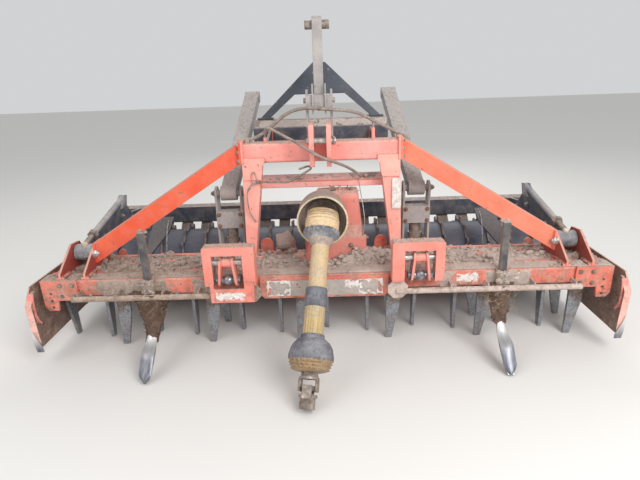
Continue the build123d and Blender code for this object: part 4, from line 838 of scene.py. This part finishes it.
def coverSoil(u, v):
    x, y = u - 1474, v + 101
    depth = 3.5 + 7 * rough(x, y, 90) + 6 * rough(x, y, 26, 3) + 6 * rough(x, y, 11, 7)
    depth += sum(hump(x, y, *heap) * (0.8 + 0.5 * rough(x, y, 35, 5)) for heap in heaps)
    cap = hypot(min(abs(x - place) for place in rotorPlaces.values()), y - rotorY)
    if 30 < cap < 62:
        depth -= 5 + 3 * rough(x, y, 60, 11)
    if cap < 45 and 800 < abs(x) < 1200:
        depth = min(depth, 5 + 7 * rough(x, y, 24, 13))
    if abs(y - 134) < 14 and abs(x) > 600 and rough(x, 0, 130, 17) > -0.1:
        depth = min(depth, 6 + 9 * rough(x, y, 22, 19))
    if abs(y - 376) < 17:
        depth -= 3
    return depth


crust("cover_soil", "root", spot(-1474, 101, 440), X * 2.948, Y * 0.304, Z, 7, coverSoil)
crust("beam_top_soil", "root", spot(-1474, 12, 460), X * 2.948, Y * 0.086, Z, 7, lambda u, v: (
    3.0 + 6.5 * rough(u, v, 60, 21) + 3.5 * rough(u, v, 15, 22) + hump(u - 1474, 0, 265, 0, 110, 99, 6)))


def beamMud(u, v):
    x, z = u - 1280, v + 366
    depth = -4.5 + 8 * rough(x, z, 75, 31) + 4 * rough(x, z, 18, 32)
    for cx, wide, high in ((-1110, 70, 14), (-shankX, 75, 22), (shankX, 70, 20), (-640, 60, 8), (640, 45, 8),
                           (1040, 40, 9)):
        depth += hump(x, 0, cx, 0, wide, 99, high)
    return depth if abs(x) > 352 else -3


crust("beam_front_mud", "root", spot(-1280, 10, 366), X * 2.56, Z * 0.09, -Y, 7, beamMud)
crust("centre_plate_mud", "root", spot(-300, -2, 340), X * 0.6, Z * 0.094, -Y, 6, lambda u, v: (
    1.0 + 2.4 * rough(u, v, 70, 41) + 1.6 * rough(u, v, 14, 42) - 5 * (abs(u - 300) > 276)), "loamPale")
# Dust on the two bars: piece, corner in mm, length in metres, way across, way out, least depth, seed
for name, corner, long, across, out, least, seed in (
        ("second_bar_dust", (-396, 392, 862), 0.792, (0, 0.088, 0.0254), (0, -0.27, 0.96), -0.7, 51),
        ("rear_bar_dust", (-400, 662, 1129), 0.8, (0, 0.038, 0.043), (0, -0.75, 0.66), 0.5, 55)):
    crust(name, "root", spot(*corner), X * long, Vector(across), Vector(out), 8, lambda u, v: (
        least + 1.6 * rough(u, v, 60, seed) + 0.8 * rough(u, v, 14, seed + 1)), "loamPale")
for side, word in bothSides:
    crust("portal_top_soil_" + word, "root", spot(side * 469 - 125, -72, 645), X * 0.25, Y * 0.06, Z, 6,
          lambda u, v: -0.6 + 3 * rough(u, v, 40, 61 + side) + 2 * rough(u, v, 11, 62))
    crust("roller_tube_soil_" + word, "roller_frame", spot(side * 715 - 700, 1002, 564), X * 1.4, Y * 0.086,
          Z, 10,
          lambda u, v: -0.5 + 3 * rough(u, v, 70, 71 + side) + 2 * rough(u, v, 20, 72))
print("soil laid")


def addClod(bm, place, size, seed, flat=0.75):
    made = bmesh.ops.create_icosphere(bm, subdivisions=2 if size > 0.012 else 1, radius=size)
    for vert in made["verts"]:
        turn = noise.noise(vert.co / size * 1.1 + Vector((seed, 0, 0))) + 0.5 * noise.noise(
            vert.co / size * 3 + Vector((0, seed, 0)))
        vert.co *= 1 + 0.42 * turn
        vert.co.z *= flat
        vert.co += place


def scatter(name, body, seed, areas):
    # loose clods: each area is an x range, a y range, the surface under them and how many of what size in mm
    dice = random.Random(seed)
    bm = bmesh.new()
    for xs, ys, ground, count, small, large in areas:
        for _ in range(count):
            x, y = dice.uniform(*xs), dice.uniform(*ys)
            size = small + (large - small) * dice.random() ** 2.4
            z = ground(x, y) if callable(ground) else ground
            addClod(bm, spot(x, y, z + size * 0.3), size / 1000, dice.uniform(0, 90))
    settleMesh(name, bm, body, "loam", 60)


def coverTop(x, y):
    return 440 + max(0.0, coverSoil(x + 1474, y - 101))


scatter("cover_clods", "root", 5, [
    ((-1460, 1460), (112, 398), coverTop, 520, 3, 17), ((-1460, -340), (112, 398), coverTop, 90, 10, 26),
    ((340, 1460), (112, 398), coverTop, 90, 10, 26), ((-330, 330), (104, 170), coverTop, 90, 6, 20),
    ((150, 390), (140, 300), coverTop, 60, 8, 22)])
scatter("cover_crumbs", "root", 8, [((-1460, 1460), (108, 402), coverTop, 2100, 4, 11)])
bm = bmesh.new()
for x, y, z, size, seed in ((-222, 398, 508, 0.058, 3.1), (-190, 380, 462, 0.03, 8.2),
                            (-262, 388, 458, 0.026, 5.5)):
    addClod(bm, spot(x, y, z), size, seed, 0.95)
settleMesh("large_clods", bm, "root", "loam", 60)
scatter("beam_clods", "root", 6, [((-1460, 1460), (16, 92), 461, 210, 2.5, 11)])
scatter("ledge_clods", "root", 7, [
    ((-390, 390), (400, 470), 872, 60, 2, 7), ((-390, 390), (704, 736), 1172, 36, 2, 6),
    ((-410, 410), (306, 394), 1090, 40, 2, 5), ((350, 590), (-70, -14), 645, 26, 2, 7),
    ((-590, -350), (-70, -14), 645, 26, 2, 7), ((100, 205), (190, 300), 828, 10, 2, 6),
    ((464, 616), (410, 466), 690, 14, 3, 9), ((-616, -464), (410, 466), 690, 14, 3, 9),
    ((330, 410), (410, 440), 882, 3, 16, 24), ((205, 300), (400, 440), 878, 4, 12, 22)])


# The shank's front line, z and y in mm; below it the share's own front down to its point
shankFront = ((400, -24), (330, -24), (300, -27), (260, -35), (220, -48), (190, -62), (160, -80), (130, -102),
              (110, -121), (80, -160))


def frontAt(z):
    for (high, a), (low, b) in zip(shankFront, shankFront[1:]):
        if z >= low:
            return a + (b - a) * (high - z) / (high - low)
    return shankFront[-1][1]


# Mud packed round the eradicators' shanks, wide under the beam and narrow above the scoured point
def mudCone(name, x, reach, lowest, tip):
    bm = bmesh.new()
    rings, sides = 44, 64
    rows = []
    for i in range(rings + 1):
        share = i / rings
        z = 392 - (392 - lowest) * share
        ends = 0.3 if i in (0, rings) else 1
        wide = (tip + (reach - tip) * (1 - share) ** 1.3) * ends
        deep = (25 + 27 * (1 - share)) * ends
        row = []
        for j in range(sides):
            a = 2 * pi * j / sides
            c, d = cos(a), sin(a)
            bump = 1 + 0.24 * noise.noise(Vector((c * 1.7, d * 1.7, z / 40 + x)))
            bump += 0.16 * noise.noise(Vector((c * 5, d * 5, z / 14 + x)))
            bump += 0.07 * noise.noise(Vector((c * 13, d * 13, z / 6 + x)))
            row.append(bm.verts.new(spot(x + wide * bump * c, frontAt(z) + 18 + deep * bump * d, z)))
        rows.append(row)
    skin(bm, rows, True)
    dice = random.Random(int(abs(x)) + int(x > 0))
    for _ in range(150):
        row = rows[int((rings - 1) * dice.random())]
        vert = row[dice.randrange(sides)]
        addClod(bm, vert.co.copy(), dice.uniform(0.003, 0.0105), dice.uniform(0, 90), 0.9)
    settleMesh(name, bm, "root", "loamDamp", 70)


mudCone("eradicator_mud_left", -shankX, 98, 128, 27)
mudCone("eradicator_mud_right", shankX, 66, 176, 30)

# Leaf-shaped points, crowned and scoured, their upper part whitened by a painted highlight, over the shank's
# foot and the share: z, y and half width in mm
leaf = ((208, -56, 8), (200, -60, 14), (190, -66, 18), (176, -76, 22), (160, -92, 26), (148, -108, 29),
        (138, -128, 31), (130, -152, 32.5), (121, -174, 32.8), (104, -189, 32.8), (84, -206, 32.8),
        (64, -224, 32.8),
        (48, -238, 32), (34, -250, 26), (24, -257, 18), (16, -262, 9), (11, -265, 2))
for side, word in bothSides:
    bm = bmesh.new()
    spread = 12
    front, back = [], []
    for z, y, half in leaf:
        shares = [2 * i / spread - 1 for i in range(spread + 1)]
        front.append([bm.verts.new(spot(side * shankX + half * s, y - 6 + 9 * s * s, z)) for s in shares])
        back.append([bm.verts.new(spot(side * shankX + half * s, y + 6 + 3 * s * s, z - 1)) for s in shares])
    skin(bm, front)
    skin(bm, back)
    for i in (0, spread):
        skin(bm, [[front[j][i], back[j][i]] for j in range(len(leaf))])
    for j in (0, len(leaf) - 1):
        skin(bm, [front[j], back[j]])
    settleMesh("eradicator_point_" + word, bm, "root", "scoured", 60)
    bm = bmesh.new()
    dice = random.Random(17 + side)
    for _ in range(26):
        place = spot(side * shankX + dice.uniform(-20, 20), 6 + dice.uniform(-12, 26),
                     712 + dice.uniform(-26, 5))
        addClod(bm, place, dice.uniform(0.005, 0.013), dice.uniform(0, 90), 0.9)
    for _ in range(60):
        place = spot(side * shankX + dice.uniform(-29, 29), dice.uniform(-34, -24), dice.uniform(392, 462))
        addClod(bm, place, dice.uniform(0.004, 0.011), dice.uniform(0, 90), 0.9)
    settleMesh("shank_soil_" + word, bm, "root", "loam", 60)


# Straw and roots caught in the soil and round the tines: each area is x, y and z ranges in mm, how many,
# shortest, longest and how steep
def strawBits(name, body, seed, areas):
    dice = random.Random(seed)
    bm = bmesh.new()
    for xs, ys, zs, count, short, long, tilt in areas:
        for _ in range(count):
            x, y = dice.uniform(*xs), dice.uniform(*ys)
            z = zs(x, y) + 2 if callable(zs) else dice.uniform(*zs)
            heading = dice.uniform(0, 2 * pi)
            length = dice.uniform(short, long) / 1000
            rise = dice.uniform(-tilt, tilt)
            run = Vector((cos(heading), 0.6 * sin(heading), rise)).normalized()
            bend = Vector((dice.uniform(-1, 1), dice.uniform(-1, 1), dice.uniform(-0.4, 0.8))) * length * 0.12
            middle = spot(x, y, z)
            ends = (middle - run * length / 2, middle + bend, middle + run * length / 2)
            for a, b in zip(ends, ends[1:]):
                far = (b - a).length
                lathe(bm, a, b - a, [(0, 0), (0.0008, 0.0003), (0.0006, far), (0, far)], 4)
    settleMesh(name, bm, body, "straw", 60)


strawBits("cover_straw", "root", 11, [
    ((-1440, 1440), (115, 395), coverTop, 300, 14, 60, 0.15),
    ((-1440, 1440), (18, 90), (462, 466), 110, 10, 45, 0.1),
    ((-975, -835), (-60, 40), (250, 370), 60, 15, 60, 1.2),
    ((830, 985), (-60, 40), (230, 370), 130, 15, 65, 1.2),
    ((-390, 390), (395, 470), (874, 884), 24, 14, 50, 0.1)])
for i, (rotor, x) in enumerate(rotorPlaces.items()):
    strawBits(rotor + "_straw", rotor, 40 + i, [((x - 40, x + 40), (215, 295), (250, 300), 16, 18, 60, 0.9)])
    dice = random.Random(70 + i)
    bm = bmesh.new()
    for a in (-84, 84):
        for _ in range(9):
            along, aside = a * dice.uniform(0.3, 1.15), dice.uniform(-20, 20)
            ahead = (aside, along) if i % 2 else (along, aside)
            place = spot(x + ahead[0], rotorY + ahead[1], dice.uniform(252, 266))
            addClod(bm, place, dice.uniform(0.006, 0.015), dice.uniform(0, 90), 0.9)
    settleMesh(rotor + "_mud", bm, rotor, "loamDamp", 60)
print("clods, mud and straw laid")


# Blank labels and worn patches: a thin sheet on a face, its edge eaten away by wear
def label(name, centre, wide, high, tilt, eaten, rim=0):
    bm = bmesh.new()
    step = 2.5
    right, out = Vector((cos(tilt), 0, sin(tilt))), -Y
    up = right.cross(out) if right.cross(out).z > 0 else out.cross(right)
    columns, rows = int(wide / step), int(high / step)
    grid = {}
    for i in range(columns + 1):
        for j in range(rows + 1):
            u, v = i * step - wide / 2, j * step - high / 2
            place = spot(*centre) + right * (u / 1000) + up * (v / 1000) + out * 0.0006
            grid[i, j] = bm.verts.new(place)

    def kept(i, j):
        u, v = (i + 0.5) * step - wide / 2, (j + 0.5) * step - high / 2
        near, far = sorted((wide / 2 - abs(u), high / 2 - abs(v)))
        if rim and near > rim * (0.6 + 1.1 * rough(u, v, 22, centre[0] + 9)):
            return False
        worn = eaten * (rough(u, v, 16, centre[0]) + 0.35 + 0.5 * rough(u, v, 5, 3))
        return near > worn and min(near, 9) + min(far, 9) > 5

    fillGrid(bm, grid, kept)
    settleMesh(name, bm, "root", "wornLabel", 180)


# Piece, middle in mm, width, height, tilt, how far its edge is eaten and the width of a rim that is left
labelTable = (
    ("leg_label", (408, 292, 800), 52, 172, 0.0, 0),
    ("beam_patch_right", (742, 10, 414), 118, 58, 0.0, 22),
    ("beam_patch_left", (-1062, 10, 418), 74, 50, 0.05, 30),
    ("centre_patch_left", (-236, -6, 388), 126, 90, 0.0, 5, 24),
    ("centre_patch_middle", (150, -6, 404), 100, 52, 0.0, 20),
    ("centre_patch_right", (240, -6, 388), 128, 90, 0.0, 6, 22),
    ("portal_patch", (-472, -84, 388), 150, 46, 0.0, 16),
    ("beam_patch_far_right", (1000, 10, 416), 40, 60, 0.0, 20),
)
for row in labelTable:
    label(*row)
print("labels laid")


# Pale floor and soft studio light
studio = {"floorSize": 40.0, "floorColour": "#DCDAD6", "skyStrength": 0.74, "skyColour": "#EEF0F2"}
bpy.ops.mesh.primitive_plane_add(size=studio["floorSize"], location=(0, 0, -0.002))
floor = bpy.context.active_object
floor.name = "floor"
floorFinish = Finish("studioFloor")
floorFinish.feed(floorFinish.shader, {"Base Color": studio["floorColour"], "Roughness": 0.95})
floor.data.materials.append(floorFinish.material)

world = bpy.data.worlds.new("studioSky")
bpy.context.scene.world = world
world.use_nodes = True
sky = world.node_tree.nodes["Background"]
sky.inputs["Color"].default_value = hexColour(studio["skyColour"])
sky.inputs["Strength"].default_value = studio["skyStrength"]

lamps = {
    "key": {"place": (2.4, -3.8, 3.6), "power": 225.0, "size": 3.0},
    "fill": {"place": (-3.2, -3.0, 3.4), "power": 70.0, "size": 3.5},
    "back": {"place": (0.5, 4.0, 3.6), "power": 70.0, "size": 3.0},
}
for name, lamp in lamps.items():
    data = bpy.data.lights.new(name, "AREA")
    data.energy = lamp["power"]
    data.size = lamp["size"]
    light = addObject(name, data)
    light.location = lamp["place"]
    light.rotation_euler = (Vector((0, 0.2, 0.5)) - light.location).to_track_quat("-Z", "Y").to_euler()
bpy.context.scene.view_settings.view_transform = "Standard"
print("studio lit")
